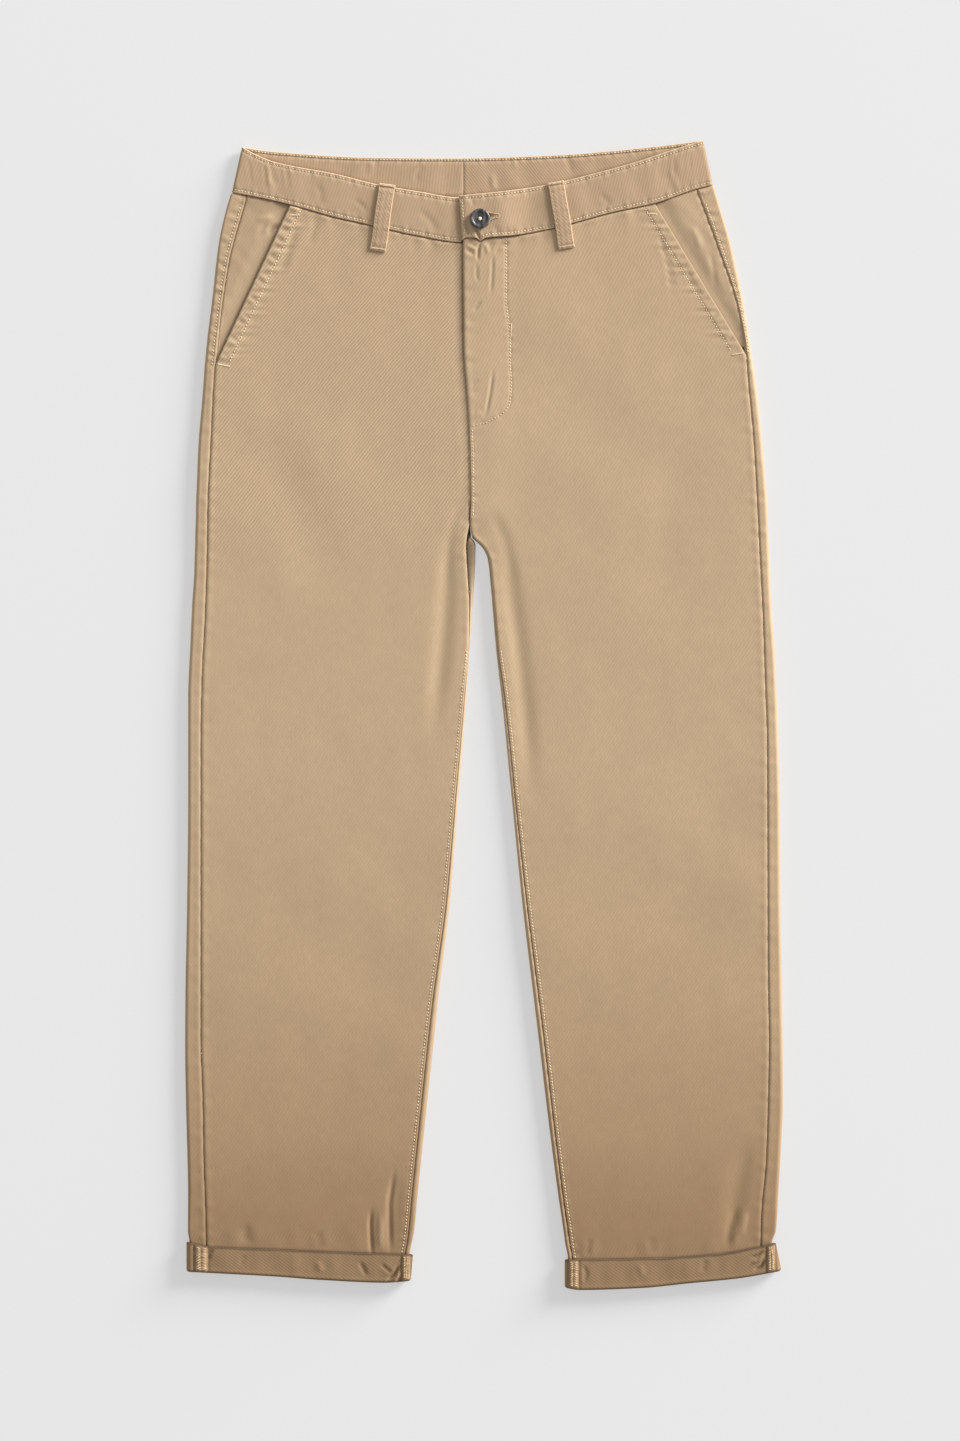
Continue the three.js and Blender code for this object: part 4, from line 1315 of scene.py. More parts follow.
@dataclass
class Panel:
    """A panel of one leg: a thin shell on the leg's form, with seams and folds worked in.

    cut is the size in metres of the flat piece that shows.
    """

    leg: Leg
    seed: float
    cut: Pair

    KIND = "panel"
    HELD = "laid"

    @property
    def finish(self) -> Finish:
        """Finish of its cloth."""
        return TWILL

    def arcs(self, y: Array) -> Array:
        """Lengths round the tube of the panel's columns at heights of one or more columns."""
        raise NotImplementedError

    def dressing(self, arc: Array, y: Array) -> Array:
        """Height of seams and puckers over the leg's form."""
        raise NotImplementedError

    def wear_and_shade(self, arc: Array, y: Array) -> Array:
        """Tone of each point: paler up to 1 where edges have rubbed and highlights are painted,
        darker down to -2 with painted shade.
        """
        raise NotImplementedError

    def track(self, arc: Array, y: Array) -> Track:
        """Points and normals of the dressed face."""
        normal = normals_of(self.leg.point, arc, y, self.leg.side)
        return self.leg.point(arc, y) + normal * self.dressing(arc, y)[..., None], normal

    def build(self) -> None:
        """Make the shell, its inner face set in along the normals."""
        arc, y = self.leg.grid(self.arcs)
        outer, normal = self.track(arc, y)
        _, _, quarter, flat = self.leg.section(y)
        # the seed moves the weave on, so that no two panels show the same
        from_fold = self.leg.side * (arc - quarter - flat) + 1000 * self.seed
        build_sheet(
            f"{self.KIND}_twill_{self.leg.name}", f"{self.KIND}_panel_{self.leg.name}",
            np.stack([outer, outer - normal * VISIBLE_CLOTH]), shell_faces(*arc.shape),
            self.finish, np.stack([np.stack([from_fold, y], -1)] * 2),
            np.stack([self.wear_and_shade(arc, y)] * 2), flat=self.cut, held=self.HELD, rests_on=[],
            area=quads_area(outer, grid_faces(*arc.shape)),
        )


@dataclass
class FrontPanel(Panel):
    """Front of one leg, from the fly or the inseam to the pocket's edge or the outseam."""

    KIND = "front"

    @property
    def finish(self) -> Finish:
        """The right front's wales lie across the light and show, the left one's along it."""
        return TWILL if self.lapping else CROSS_LIT_TWILL

    @property
    def lapping(self) -> bool:
        """Whether this front lies on the other one along the fly."""
        return self.leg.side > 0

    def limits(self, y: Array) -> Arrays:
        """Lengths round the tube of the panel's two edges.

        Args:
            y: Heights.

        Returns:
            Length to the inner edge and to the outer one, the pocket's edge or the outseam.
        """
        leg = self.leg
        seam, slant = leg.outseam(y), leg.slant(y)
        open_here = (y > leg.pocket_end - 4) & (leg.side * (seam - slant) > 0)
        start = leg.arc_on_top(y, leg.front(y))
        return start, leg.arc_on_top(y, np.where(open_here, slant, seam)) - SEAM_GAP / 2

    def arcs(self, y: Array) -> Array:
        """Columns 1.3 mm apart at both edges and up to 4 mm apart between."""
        start, end = self.limits(y)
        return subdivide([start, start + 16, start + 56, end - 14, end], [13, 32, 41, 13])

    def places(self, arc: Array, y: Array) -> Arrays:
        """X on the level face, and distances from the inner and from the outer edge.

        Args:
            arc: Lengths round the tube.
            y: Y of the places.

        Returns:
            Those three, in that order.
        """
        _, radius, quarter, _ = self.leg.section(y)
        start, end = self.limits(y)
        x = self.leg.inner(y) + self.leg.side * (arc - quarter + radius)
        return x, arc - start, end - arc

    def pocket_drag(self, outer: Array, y: Array) -> Arrays:
        """Where the pocket's edge is, from 0 to 1, and the slanting drags across its stitches."""
        drag = ripple(y + 0.45 * outer, 7.5, self.seed + 0.9) * bell(outer - 6.5, 4.6)
        return smooth(self.leg.pocket_end - 2, self.leg.pocket_end + 5, y), drag

    def dressing(self, arc: Array, y: Array) -> Array:
        """Fly or inseam on one edge, pocket or outseam on the other, waist seam above.

        Args:
            arc: Lengths round the tube.
            y: Heights.

        Returns:
            Heights over the leg's form.
        """
        leg, seed = self.leg, self.seed
        x, inner, outer = self.places(arc, y)
        stitched = self.stitched(y)
        height = stitched * seam_relief(inner, y, EDGE_STITCH, seed, 0.22)
        height += (1 - stitched) * plain_relief(inner, y, seed + 0.3)
        pocket, drag = self.pocket_drag(outer, y)
        hemmed = seam_relief(outer, y, POCKET_STITCH, seed + 0.6, 0.25 if self.lapping else 0.4)
        height += pocket * (hemmed + 0.4 * drag)
        height += (1 - pocket) * plain_relief(outer, y, seed + 0.7)
        waist = leg.below_band(x, y)
        height += plain_relief(waist, x, seed + 1.1) + tucked(waist)
        gather = 0.35 * ripple(x, 17.0, seed + 1.6) * np.exp(-np.maximum(waist, 0) / 9.0)
        height += gather * smooth(0.0, 3.0, waist)
        height += 0.3 * ripple(x, 27.0, seed + 2.0) * bell(y - leg.cuff_upper(x) - 9.0, 9.0)
        if self.lapping:
            away, along = path_distance(np.array(FLY_STITCH), x, y)
            fade = smooth(0.0, 0.02, along) * (1 - smooth(0.98, 1.0, along))
            height += 0.2 * smooth(250, 272, y) * (1 - smooth(-1.5, 1.0, x - FLY_LINE(y)))
            height -= 0.35 * bell(away, 1.0) * fade
            pucker = ripple(along * FLY_STITCH_LENGTH, 7.5, seed + 2.6)
            height += 0.15 * pucker * bell(away, 3.4) * fade
        return height

    def stitched(self, y: Array) -> Array:
        """Share of topstitching on the inner edge: on the crotch seam and down the lower leg."""
        crotch = smooth(176, 180, y) * (1 - smooth(256, 260, y)) if self.lapping else 0.0 * y
        return 1 - smooth(45.0, 75.0, y) + crotch

    def wear_and_shade(self, arc: Array, y: Array) -> Array:
        """Paler where the seams' ridges and the right pocket's edge have rubbed and along the
        fly's fold; painted shade in the seams' grooves, under the stitches, on the left pocket's
        edge, in creases, under the waistband, above the hem and by the lap.

        Args:
            arc: Lengths round the tube.
            y: Heights.

        Returns:
            Tones.
        """
        x, inner, outer = self.places(arc, y)
        stitched, right = self.stitched(y), not self.lapping
        # Painted shade in the inner seam's groove and under its stitches, paler on its ridge
        tone = stitched * seam_shade_and_wear(inner, EDGE_STITCH, right)
        tone = tone + (1 - stitched) * 0.6 * seam_shade_and_wear(inner, None, right)
        pocket, drag = self.pocket_drag(outer, y)
        # The right pocket's edge is paler where it has rubbed; the left one's rolled edge, which
        # catches the key light, gets painted shade, and the drags across the stitches painted
        # light and shade
        rim = (0.5 if right else -1.0) * bell(outer - 0.8, 1.3)
        tone = tone + pocket * (seam_shade_and_wear(outer, POCKET_STITCH) + rim + 0.25 * drag)
        tone = tone + (1 - pocket) * 0.6 * seam_shade_and_wear(outer, None, self.lapping)
        # Painted shade in creases and a painted highlight on their ridges; painted shade under
        # the waistband's seam and along the hem's upper edge
        tone = tone + crease_shading(creased(x, y, CREASES))
        tone = tone - 0.3 * bell(self.leg.below_band(x, y), 1.2)
        tone = tone - 1.3 * bell(y - self.leg.cuff_upper(x), 1.1)
        if right:
            # in the shade of the lap
            beside = np.minimum(x - LAP_EDGE(y), 0.0)
            return tone - 1.1 * smooth(215, 370, y) * bell(beside, 6.0)
        # Paler along the crotch seam's fold; painted shade in the fly stitching's groove
        away, _ = path_distance(np.array(FLY_STITCH), x, y)
        return tone + smooth(172, 182, y) * 0.7 * bell(inner - 0.8, 1.4) - 0.2 * bell(away, 0.9)

    def on_top(self, x: Array, y: Array) -> Track:
        """Track on the face through places (x, y)."""
        return self.track(self.leg.arc_on_top(y, x), y)

    def sew(self, thread: Stitching) -> None:
        """Topstitch the pocket, the fly and the seams.

        Args:
            thread: Stitching that takes the rows.
        """
        leg = self.leg
        top = float(leg.band_lower(np.array(leg.slant(np.array(455.0))))) - WAIST_GAP - 1.0
        y = np.linspace(top, leg.pocket_end - 1, 160)
        thread.add_track(self.track(self.limits(y)[1] - POCKET_STITCH, y), seed=self.seed)
        hem = float(leg.cuff_upper(leg.inner(np.array(-480.0)))) + 1
        rows = [(np.linspace(58.0, hem, 420), 0.4)]
        if self.lapping:
            rows.append((np.linspace(257.0, 179.0, 80), 0.8))
        for y, shift in rows:
            edge = self.limits(y)[0] + EDGE_STITCH
            thread.add_track(self.track(edge, y), seed=self.seed + shift)
        if self.lapping:
            line = np.array(FLY_STITCH)
            steps = reached(line)
            s = np.linspace(0, steps[-1], 170)
            x, y = np.interp(s, steps, line[:, 0]), np.interp(s, steps, line[:, 1])
            thread.add_track(self.on_top(x, y), seed=self.seed + 1.2)

    def sew_bars(self, thread: Stitching) -> None:
        """Sew each bartack: close stitches across the line from its start to its end.

        Args:
            thread: Stitching that takes them.
        """
        for a, b in np.array(self.leg.bars):
            length = float(np.linalg.norm(b - a))
            across = 0.85 * np.array([-(b - a)[1], (b - a)[0]]) / length
            middle = a + (b - a) * np.linspace(0, 1, int(length / CLOSE_PITCH))[:, None]
            first, up = self.on_top(*(middle - across).T)
            thread.add_spans(first, self.on_top(*(middle + across).T)[0], up)


# Stitches that hold the fly's facing: straight down, then a curve to the centre seam
FLY_STITCH = (
    (19.8, 429.5), (19.8, 400.0), (19.8, 370.8), (22.0, 354.0), (23.4, 345.6), (23.6, 331.0),
    (23.4, 317.7), (24.2, 305.0), (24.3, 294.3), (24.0, 286.0), (22.5, 278.1), (18.2, 272.2),
    (12.2, 268.2), (7.0, 265.4), (1.8, 262.8), (-4.5, 261.3), (-10.8, 260.1),
)
FLY_STITCH_LENGTH = 165.0
FLY_LINE = Curve(((262, 1.8), (268, 12.2), (278, 22.5), (294, 24.3), (345, 23.4), (371, 19.8)))


@dataclass
class BackPanel(Panel):
    """Back of one leg: round the side fold, the underside and the inseam fold."""

    KIND = "back"
    HELD = "folded"

    def knots(self, y: Array) -> list[Array]:
        """Lengths round the tube of the panel's edges and of the bends between them.

        Above the crotch the panel ends flat at the centre back seam; below it goes on round the
        inseam fold. The last four knots blend from one to the other.

        Args:
            y: Heights.

        Returns:
            Eight lengths, in rising order.
        """
        leg = self.leg
        _, _, quarter, flat = leg.section(y)
        whole, fold = 4 * quarter + 2 * flat, quarter + flat
        seat = SEAT_SEAM(y) + leg.side * SEAM_GAP / 2
        if leg.side > 0:
            seat = np.where(y < 166.5, np.maximum(seat, RIGHT_INNER(y) + SEAM_GAP), seat)
        start = leg.arc_on_top(y, leg.outseam(y)) + SEAM_GAP / 2
        ends_open = whole - leg.arc_on_top(y, seat)
        closed = whole + leg.arc_on_top(y, leg.front(y)) - 1.3 * SEAM_GAP
        pairs = (
            (ends_open - 14, whole - quarter),
            (ends_open - 9, whole - quarter / 2),
            (ends_open - 4, whole),
            (ends_open, closed),
        )
        ends = [above + (below - above) * leg.closed(y) for above, below in pairs]
        return [start, fold, fold + quarter, fold + 2 * quarter, *ends]

    def arcs(self, y: Array) -> Array:
        """Columns close at the seams and round the folds, with a tuck at both edges.

        Args:
            y: Y of the places.

        Returns:
            Lengths of shape (rows, columns).
        """
        knots = self.knots(y)
        knots = [knots[0] - 1.5, *knots, knots[-1] + 0.05 + 1.45 * self.leg.closed(y)]
        return subdivide(knots, [2, 11, 5, 5, 32, 5, 4, 6, 2])

    def dressing(self, arc: Array, y: Array) -> Array:
        """Side seam, stitched down to the pocket's end, centre back or inseam, and waist seam.

        Args:
            arc: Lengths round the tube.
            y: Heights.

        Returns:
            Heights over the leg's form.
        """
        leg, seed, knots = self.leg, self.seed, self.knots(y)
        outer, inner = arc - knots[0], knots[-1] - arc
        stitched = smooth(leg.pocket_end - 8, leg.pocket_end, y)
        sewn = seam_relief(outer, y, EDGE_STITCH, seed, 0.22)
        height = stitched * sewn + (1 - stitched) * plain_relief(outer, y, seed + 0.2)
        drag = 0.3 * ripple(y - 0.3 * outer, 9.0, seed + 1.9) * bell(outer - 6.0, 5.0)
        height += drag * smooth(300, 330, y)
        height += 0.07 * ripple(y, 30.0, seed + 1.4) * bell(outer - 9.0, 5.0)
        height += 0.6 * plain_relief(inner, y, seed + 0.5)
        for edge in (outer, inner):
            height -= 1.55 * (1 - smooth(-0.9, 0.3, edge))
        _, _, quarter, flat = leg.section(y)
        x = leg.point(arc, y)[..., 0]
        under = BACK_BAND_LOWER(x) - WAIST_GAP - y
        height += tucked(np.where(arc < 2 * quarter + flat, leg.below_band(x, y), under))
        # nothing reaches below the level underside
        level = (arc > knots[3]) & (inner > 3.0)
        return np.where(level, np.maximum(height, 0.0), height)

    def wear_and_shade(self, arc: Array, y: Array) -> Array:
        """Paler where the side seam's ridge has rubbed and just past the top of the side fold;
        painted shade in the seams' grooves, round the left leg's side fold, on the right leg's
        inseam fold and, towards the crotch, its inner strip, and along the hem's upper edge.

        Args:
            arc: Lengths round the tube.
            y: Heights.

        Returns:
            Tones.
        """
        leg, knots = self.leg, self.knots(y)
        stitched = smooth(leg.pocket_end - 8, leg.pocket_end, y)
        outer, right = arc - knots[0], leg.side < 0
        # Painted shade in the side seam's groove and under its stitches, paler on its ridge
        tone = stitched * seam_shade_and_wear(outer, EDGE_STITCH, right)
        tone = tone + (1 - stitched) * 0.6 * seam_shade_and_wear(outer, None, right)
        _, _, quarter, flat = leg.section(y)
        whole = 4 * quarter + 2 * flat
        # Painted shade on the right leg's inseam fold and, towards the crotch, its inner strip;
        # on the left leg round the side fold
        if right:
            inseam = arc > whole - quarter
            tone = tone - 0.9 * inseam * (1 - smooth(whole, whole + quarter, arc))
            tone = tone - 1.6 * smooth(85, 150, y) * inseam
        else:
            tone = tone - 0.9 * smooth(knots[1] - 0.5, knots[2], arc) * (arc < knots[3])
        # Painted shade along the hem's upper edge and in the inner seam's groove; paler just past
        # the top of the side fold
        tone = tone - 1.3 * bell(y - leg.cuff_upper(leg.point(arc, y)[..., 0]), 1.1)
        return tone + seam_shade_and_wear(knots[-1] - arc) + 0.2 * bell(arc - knots[1] - 4.0, 3.0)

    def sew(self, thread: Stitching) -> None:
        """Topstitch the side seam from the waist to below the pocket.

        Args:
            thread: Stitching that takes the row.
        """
        y = np.linspace(460.0, self.leg.pocket_end - 4, 160)
        bent = np.minimum(y, self.leg.band_lower(self.leg.outseam(y)) - WAIST_GAP - 1.5)
        thread.add_track(self.track(self.knots(bent)[0] + EDGE_STITCH, bent), seed=self.seed)


@dataclass
class PocketFacing:
    """Cloth seen in the pocket's opening: it dips under the front and rises to the side seam."""

    leg: Leg
    seed: float
    cut: Pair
    under: float = 12.0
    deep: float = CLOTH + SEAM_GAP
    shallow: float = 0.4

    def build(self) -> None:
        """Make the facing: depth falls from deep to shallow 3 to 18 mm beyond the opening."""
        leg = self.leg
        rows = np.linspace(ROW_TOP, leg.pocket_end + 1, 70)
        rows = np.concatenate([[ROW_TOP + TUCK, ROW_TOP + 0.5 * TUCK], rows])[:, None]
        share = np.linspace(0, 1, 26)[None]
        x = leg.side * 200.0 + 0.0 * (rows + share)
        for _ in range(5):
            y = leg.row_height(rows, x, np.array(True))
            low, high = leg.slant(y) - leg.side * self.under, leg.outseam(y)
            x = low + (high - leg.side * SEAM_GAP / 2 - low) * share
        beyond = leg.side * (x - leg.slant(y))
        seam, waist = np.abs(leg.outseam(y) - x), leg.below_band(x, y)
        depth = self.deep + (self.shallow - self.deep) * smooth(3, 18, beyond)
        z = face(y) + relief(x, y) + creasing(x, y) - depth
        z = z + np.minimum(plain_relief(seam, y, self.seed), 0.0) + tucked(waist)
        z = z + 0.10 * ripple(y + x, 24.0, self.seed) * smooth(4, 14, beyond)
        # Paler on the side seam's ridge; painted shade in its groove, under the pocket's edge,
        # under the waistband and in creases; the right facing has painted shade all over, the
        # left one is made paler
        tone = 0.5 * bell(seam - 1.3, 1.2) - 0.5 * bell(seam, 0.7) - 0.5 * bell(beyond, 2.0)
        tone = tone - 0.3 * np.exp(-np.maximum(waist, 0) / 6.0) + crease_shading(creased(x, y, CREASES))
        tone = tone + (0.15 if leg.side > 0 else -0.2)
        outer = np.stack([x, y, z], -1)
        inner = outer - np.array([0.0, 0.0, VISIBLE_CLOTH])
        build_sheet(
            f"pocket_twill_{leg.name}", f"pocket_facing_{leg.name}", np.stack([outer, inner]),
            shell_faces(*x.shape), TWILL, np.stack([np.stack([x + 37.0, y], -1)] * 2),
            np.stack([tone] * 2), flat=self.cut, held="laid", rests_on=[f"back_panel_{leg.name}"],
            area=quads_area(outer, grid_faces(*x.shape)),
        )


# ---- Waistband ----


def strip_section(
    height: float, thick: float, face_steps: int, turn_steps: int
) -> Arrays:
    """Closed section of a flat strip with round edges, as seen from its end.

    Up the outer face, half a circle over the edge, down the inner face and half a circle back.

    Args:
        height: Height of the strip.
        thick: Its thickness.
        face_steps: Points on each face.
        turn_steps: Points on each edge, an even number.

    Returns:
        Shares of the height, depths under the outer face, and the side that is seen: 1 on the
        outer face, -1 on the inner one.
    """
    r = thick / 2
    face_t = np.linspace(r / height, 1 - r / height, face_steps)
    turn = np.linspace(0, math.pi, turn_steps + 2)[1:-1]
    over_t = 1 - r / height + r / height * np.sin(turn)
    over_d = r - r * np.cos(turn)
    t = np.concatenate([face_t, over_t, face_t[::-1], 1 - over_t])
    depth = np.concatenate([0 * face_t, over_d, 2 * r + 0 * face_t, over_d[::-1]])
    seen = np.concatenate([1 + 0 * face_t, np.cos(turn), -1 + 0 * face_t, -np.cos(turn)])
    return t[None], depth[None], seen[None]


def strip_faces(rows: int, face_steps: int, turn_steps: int) -> Array:
    """Quads of a strip carried along rows, closed at both ends.

    At an end, two neighbours on the outer face join the two that face them on the inner one.

    Args:
        rows: Number of rows.
        face_steps: Points on each face of its section.
        turn_steps: Points on each edge.

    Returns:
        Indices of shape (quads, 4).
    """
    cols = 2 * (face_steps + turn_steps)
    i = np.arange(-turn_steps // 2, face_steps + turn_steps // 2 - 1)
    far = 2 * face_steps + turn_steps - 1 - i
    cap = np.stack([i, i + 1, far - 1, far], -1) % cols
    last = (rows - 1) * cols
    return np.concatenate([grid_faces(rows, cols, wrap=True), cap[:, ::-1], cap + last])


@dataclass
class Waistband:
    """Half of the waistband, folded over its stiffener: front, side fold and back.

    ends and folds hold X of the front end and of the side fold, at the lower and the upper edge.
    cut is the flat piece's size in metres and cut_area its area, which the puckered cloth and its
    round edges may pass.
    """

    name: str
    side: int
    ends: Pair
    folds: Pair
    lower: Curve
    upper: Curve
    creases: tuple[Crease, ...]
    inner_creases: tuple[Crease, ...]
    lapping: bool
    seed: float
    stitch: float = EDGE_STITCH
    cut: Pair = (0.45, 0.041)
    cut_area: float = 0.0184

    FACE_STEPS = 24
    TURN_STEPS = 6

    def lift(self, x: Array) -> Array:
        """Height added where the left end lies on the right one.

        Args:
            x: X of the places.

        Returns:
            Heights.
        """
        if self.lapping:
            return BAND_LAP_LIFT * (1 - smooth(BAND_UNDERLAP_END + 1, 44, x))
        return -BAND_LAP_DIP * smooth(-36, -24.5, x)

    def sides(self, t: Array) -> Arrays:
        """X of the front end and of the side fold at a share t of the height."""
        end, fold = (low + (high - low) * t for low, high in (self.ends, self.folds))
        return end, fold

    def reach(self, t: Array) -> Arrays:
        """Lengths from the front end to the side fold and to the centre back seam.

        Args:
            t: Share of the height.

        Returns:
            Those two lengths.
        """
        end, fold = self.sides(t)
        front = self.side * (fold - end) - BAND_RADIUS
        back = self.side * (fold - CENTRE_BACK) - 0.03 - BAND_RADIUS
        return front, front + math.pi * BAND_RADIUS + back

    def base(self, arc: Array, t: Array) -> Array:
        """Point of the plain outer face: level to the fold, half a circle round it, level below.

        Args:
            arc: Length from the front end.
            t: Share of the way from the lower to the upper edge.

        Returns:
            Points.
        """
        end, fold = self.sides(t)
        front, _ = self.reach(t)
        angle = np.clip((arc - front) / BAND_RADIUS, 0.0, math.pi)
        beyond = np.maximum(arc - front - math.pi * BAND_RADIUS, 0.0)
        bent = fold - self.side * (BAND_RADIUS * (1 - np.sin(angle)) + beyond)
        x = np.where(arc <= front, end + self.side * arc, bent)
        z = BAND_RAISE + BAND_RADIUS * (1 + np.cos(angle))
        z = z + np.where(arc <= front, self.lift(x), 0.0)
        back = smooth(0, math.pi, angle)
        low = self.lower(x) + (BACK_BAND_LOWER(x) - self.lower(x)) * back
        high = self.upper(x) + (BACK_BAND_UPPER(x) - self.upper(x)) * back
        return np.stack([x, low + (high - low) * t, z], -1)

    def dressing(self, arc: Array, t: Array, seen: Array) -> Array:
        """Height of the stitch grooves, puckers and creases, on both faces.

        Args:
            arc: Length from the front end.
            t: Share of the height.
            seen: 1 on the outer face, -1 on the inner one.

        Returns:
            Heights.
        """
        front, whole = self.reach(t)
        below, above = t * BAND_HEIGHT, (1 - t) * BAND_HEIGHT
        bumps = 0.30 * ripple(arc + 6 * t, 33.0, self.seed + 1.9) * np.sin(np.pi * t)
        for away, seed in ((below, self.seed), (above, self.seed + 0.7)):
            drawn = bell(away - self.stitch, 3.4)
            bumps = bumps - 0.5 * bell(away - self.stitch, 0.95) + 0.12 * bell(away - 1.0, 1.4)
            bumps = bumps + 0.30 * ripple(arc, 7.5, seed) * drawn
        # crumpled towards the side
        crumple = bell(front - arc - 26, 18.0) * bell(above - 13.0, 11.0)
        bumps += (0.15 if self.lapping else 0.32) * ripple(arc - 3 * t, 7.0, self.seed) * crumple
        bumps -= 0.35 * (1 - smooth(0.0, 1.5, arc)) + 0.3 * (1 - smooth(0.0, 1.2, whole - arc))
        if self.lapping:
            bumps -= 0.5 * bell(arc - self.stitch, 0.95)
        x = self.ends[0] + self.side * arc
        creases = creased(x, self.lower(x) + below, self.creases)
        bumps += np.where((arc < front) & (seen > 0.5), creases, 0.0)
        x = self.folds[0] - self.side * (arc - front - (math.pi - 1) * BAND_RADIUS)
        creases = creased(x, BACK_BAND_UPPER(x) - above, self.inner_creases)
        return bumps + np.where((arc >= front) & (seen < -0.5), creases, 0.0)

    def surface(self, arc: Array, t: Array, depth: Array, seen: Array) -> Array:
        """Point of the band, dressed on the side that is seen and pressed thin at the front end.

        Args:
            arc: Length from the front end.
            t: Share of the height.
            depth: Depth under the outer face.
            seen: 1 on the outer face, -1 on the inner one.

        Returns:
            Points.
        """
        normal = normals_of(self.base, arc, t, self.side)
        middle = BAND_CLOTH / 2
        pressed = middle + (depth - middle) * (0.45 + 0.55 * smooth(0.0, 1.1, arc))
        raised = np.sign(seen) * np.abs(seen) ** 0.5 * self.dressing(arc, t, seen)
        return self.base(arc, t) + normal * (raised - pressed)[..., None]

    def wear_and_shade(self, points: Array, arc: Array, t: Array, seen: Array) -> Array:
        """Paler where the edges and the front end have rubbed; painted shade under the stitches,
        at the centre back seam, in creases and round the lapping half's side fold.

        The inner face lies in the front half's shade.

        Args:
            points: Points of the band.
            arc: Lengths from the front end.
            t: Shares of the height.
            seen: 1 on the outer face, -1 on the inner one.

        Returns:
            Tones.
        """
        front, whole = self.reach(t)
        edge = np.minimum(t, 1 - t) * BAND_HEIGHT
        # Paler where the edges and the front end have rubbed; painted shade in the stitches'
        # grooves and at the centre back seam
        tone = 0.9 * bell(edge, 1.3) + 0.5 * bell(arc, 1.5) - 0.5 * bell(edge - self.stitch, 1.0)
        tone = tone + 0.25 * bell(edge - self.stitch - 2.2, 1.4) - 0.3 * bell(whole - arc, 0.9)
        x, y = points[..., 0], points[..., 1]
        # painted shade in creases, a painted highlight on their ridges
        creases = crease_shading(creased(x, y, self.creases))
        tone = tone + np.where((arc < front) & (seen > 0.5), creases, 0.0)
        opening = np.where(x < LEFT_BAND_TOP, RIGHT_BAND_UPPER(x), LEFT_BAND_UPPER(x))
        shade = -0.08 - 0.9 * bell(np.maximum(y - opening, 0.0), 1.9)
        creases = crease_shading(creased(x, y, self.inner_creases))
        on_back = (arc > front + math.pi * BAND_RADIUS) & (seen < -0.5)
        tone = tone + np.where(on_back, shade + creases, 0.0)
        if self.lapping:
            # painted shade round the lapping half's side fold and on beyond it
            tone = tone - 1.2 * smooth(front - 0.3, front + 2.5, arc) * (seen > 0)
        return tone

    def build(self) -> None:
        """Carry the section along the band and close both ends."""
        t, depth, seen = strip_section(BAND_HEIGHT, BAND_CLOTH, self.FACE_STEPS, self.TURN_STEPS)
        front, whole = self.reach(t)
        knots = [0 * front, 0.4 + 0 * front, 1.1 + 0 * front, 45 + 0 * front, front]
        knots += [front + math.pi * BAND_RADIUS, whole - 1.1, whole - 0.4, whole]
        arc = subdivide([k.T for k in knots], [1, 1, 36, 128, 12, 116, 1, 1]).T
        arc, t, depth, seen = np.broadcast_arrays(arc, t, depth, seen)
        points = self.surface(arc, t, depth, seen)
        quads = strip_faces(len(arc), self.FACE_STEPS, self.TURN_STEPS)
        cloth = np.stack([self.side * arc + 500 * self.seed, BAND_HEIGHT * t], -1)
        build_sheet(
            f"band_twill_{self.name}", f"waistband_{self.name}", points, quads, BAND_TWILL, cloth,
            self.wear_and_shade(points, arc, t, seen), flat=self.cut, held="folded",
            rests_on=[f"back_panel_{self.name}"],
            area=min(quads_area(points, quads) / 2, self.cut_area),
        )

    def line(self, away: float, low: float, high: float, inner: bool = False) -> Track:
        """Track along the band.

        Args:
            away: Distance from the lower edge, or from the upper one where it is negative.
            low: Where it starts, from the front end.
            high: Where it ends.
            inner: Whether it lies on the inner face.

        Returns:
            Points and normals.
        """
        arc = np.linspace(low, high, max(int((high - low) / 1.2), 8))
        t = (away if away > 0 else BAND_HEIGHT + away) / BAND_HEIGHT + 0.0 * arc
        seen = (-1.0 if inner else 1.0) + 0.0 * arc
        depth = (BAND_CLOTH if inner else 0.0) + 0.0 * arc
        normal = normals_of(self.base, arc, t, self.side) * (-1 if inner else 1)
        return self.surface(arc, t, depth, seen), normal

    def sew(self, thread: Stitching) -> None:
        """Topstitch both edges all round, and the lapping end.

        Args:
            thread: Stitching that takes the rows.
        """
        front, whole = (float(length) for length in self.reach(np.array(0.5)))
        end = whole - 3.0
        first = self.stitch if self.lapping else 6.0
        thread.add_track(self.line(self.stitch, first, end), seed=self.seed)
        thread.add_track(self.line(-self.stitch, first, end), seed=self.seed + 0.5)
        start = front + math.pi * BAND_RADIUS + 2.0
        thread.add_track(self.line(-2.0, start, end, inner=True), seed=self.seed + 0.9)
        if self.lapping:
            t = np.linspace(self.stitch / BAND_HEIGHT, 1 - self.stitch / BAND_HEIGHT, 40)
            arc = self.stitch + 0.0 * t
            normal = normals_of(self.base, arc, t, self.side)
            points = self.surface(arc, t, 0 * t, 1 + 0 * t)
            thread.add_track((points, normal), seed=self.seed + 1.3)


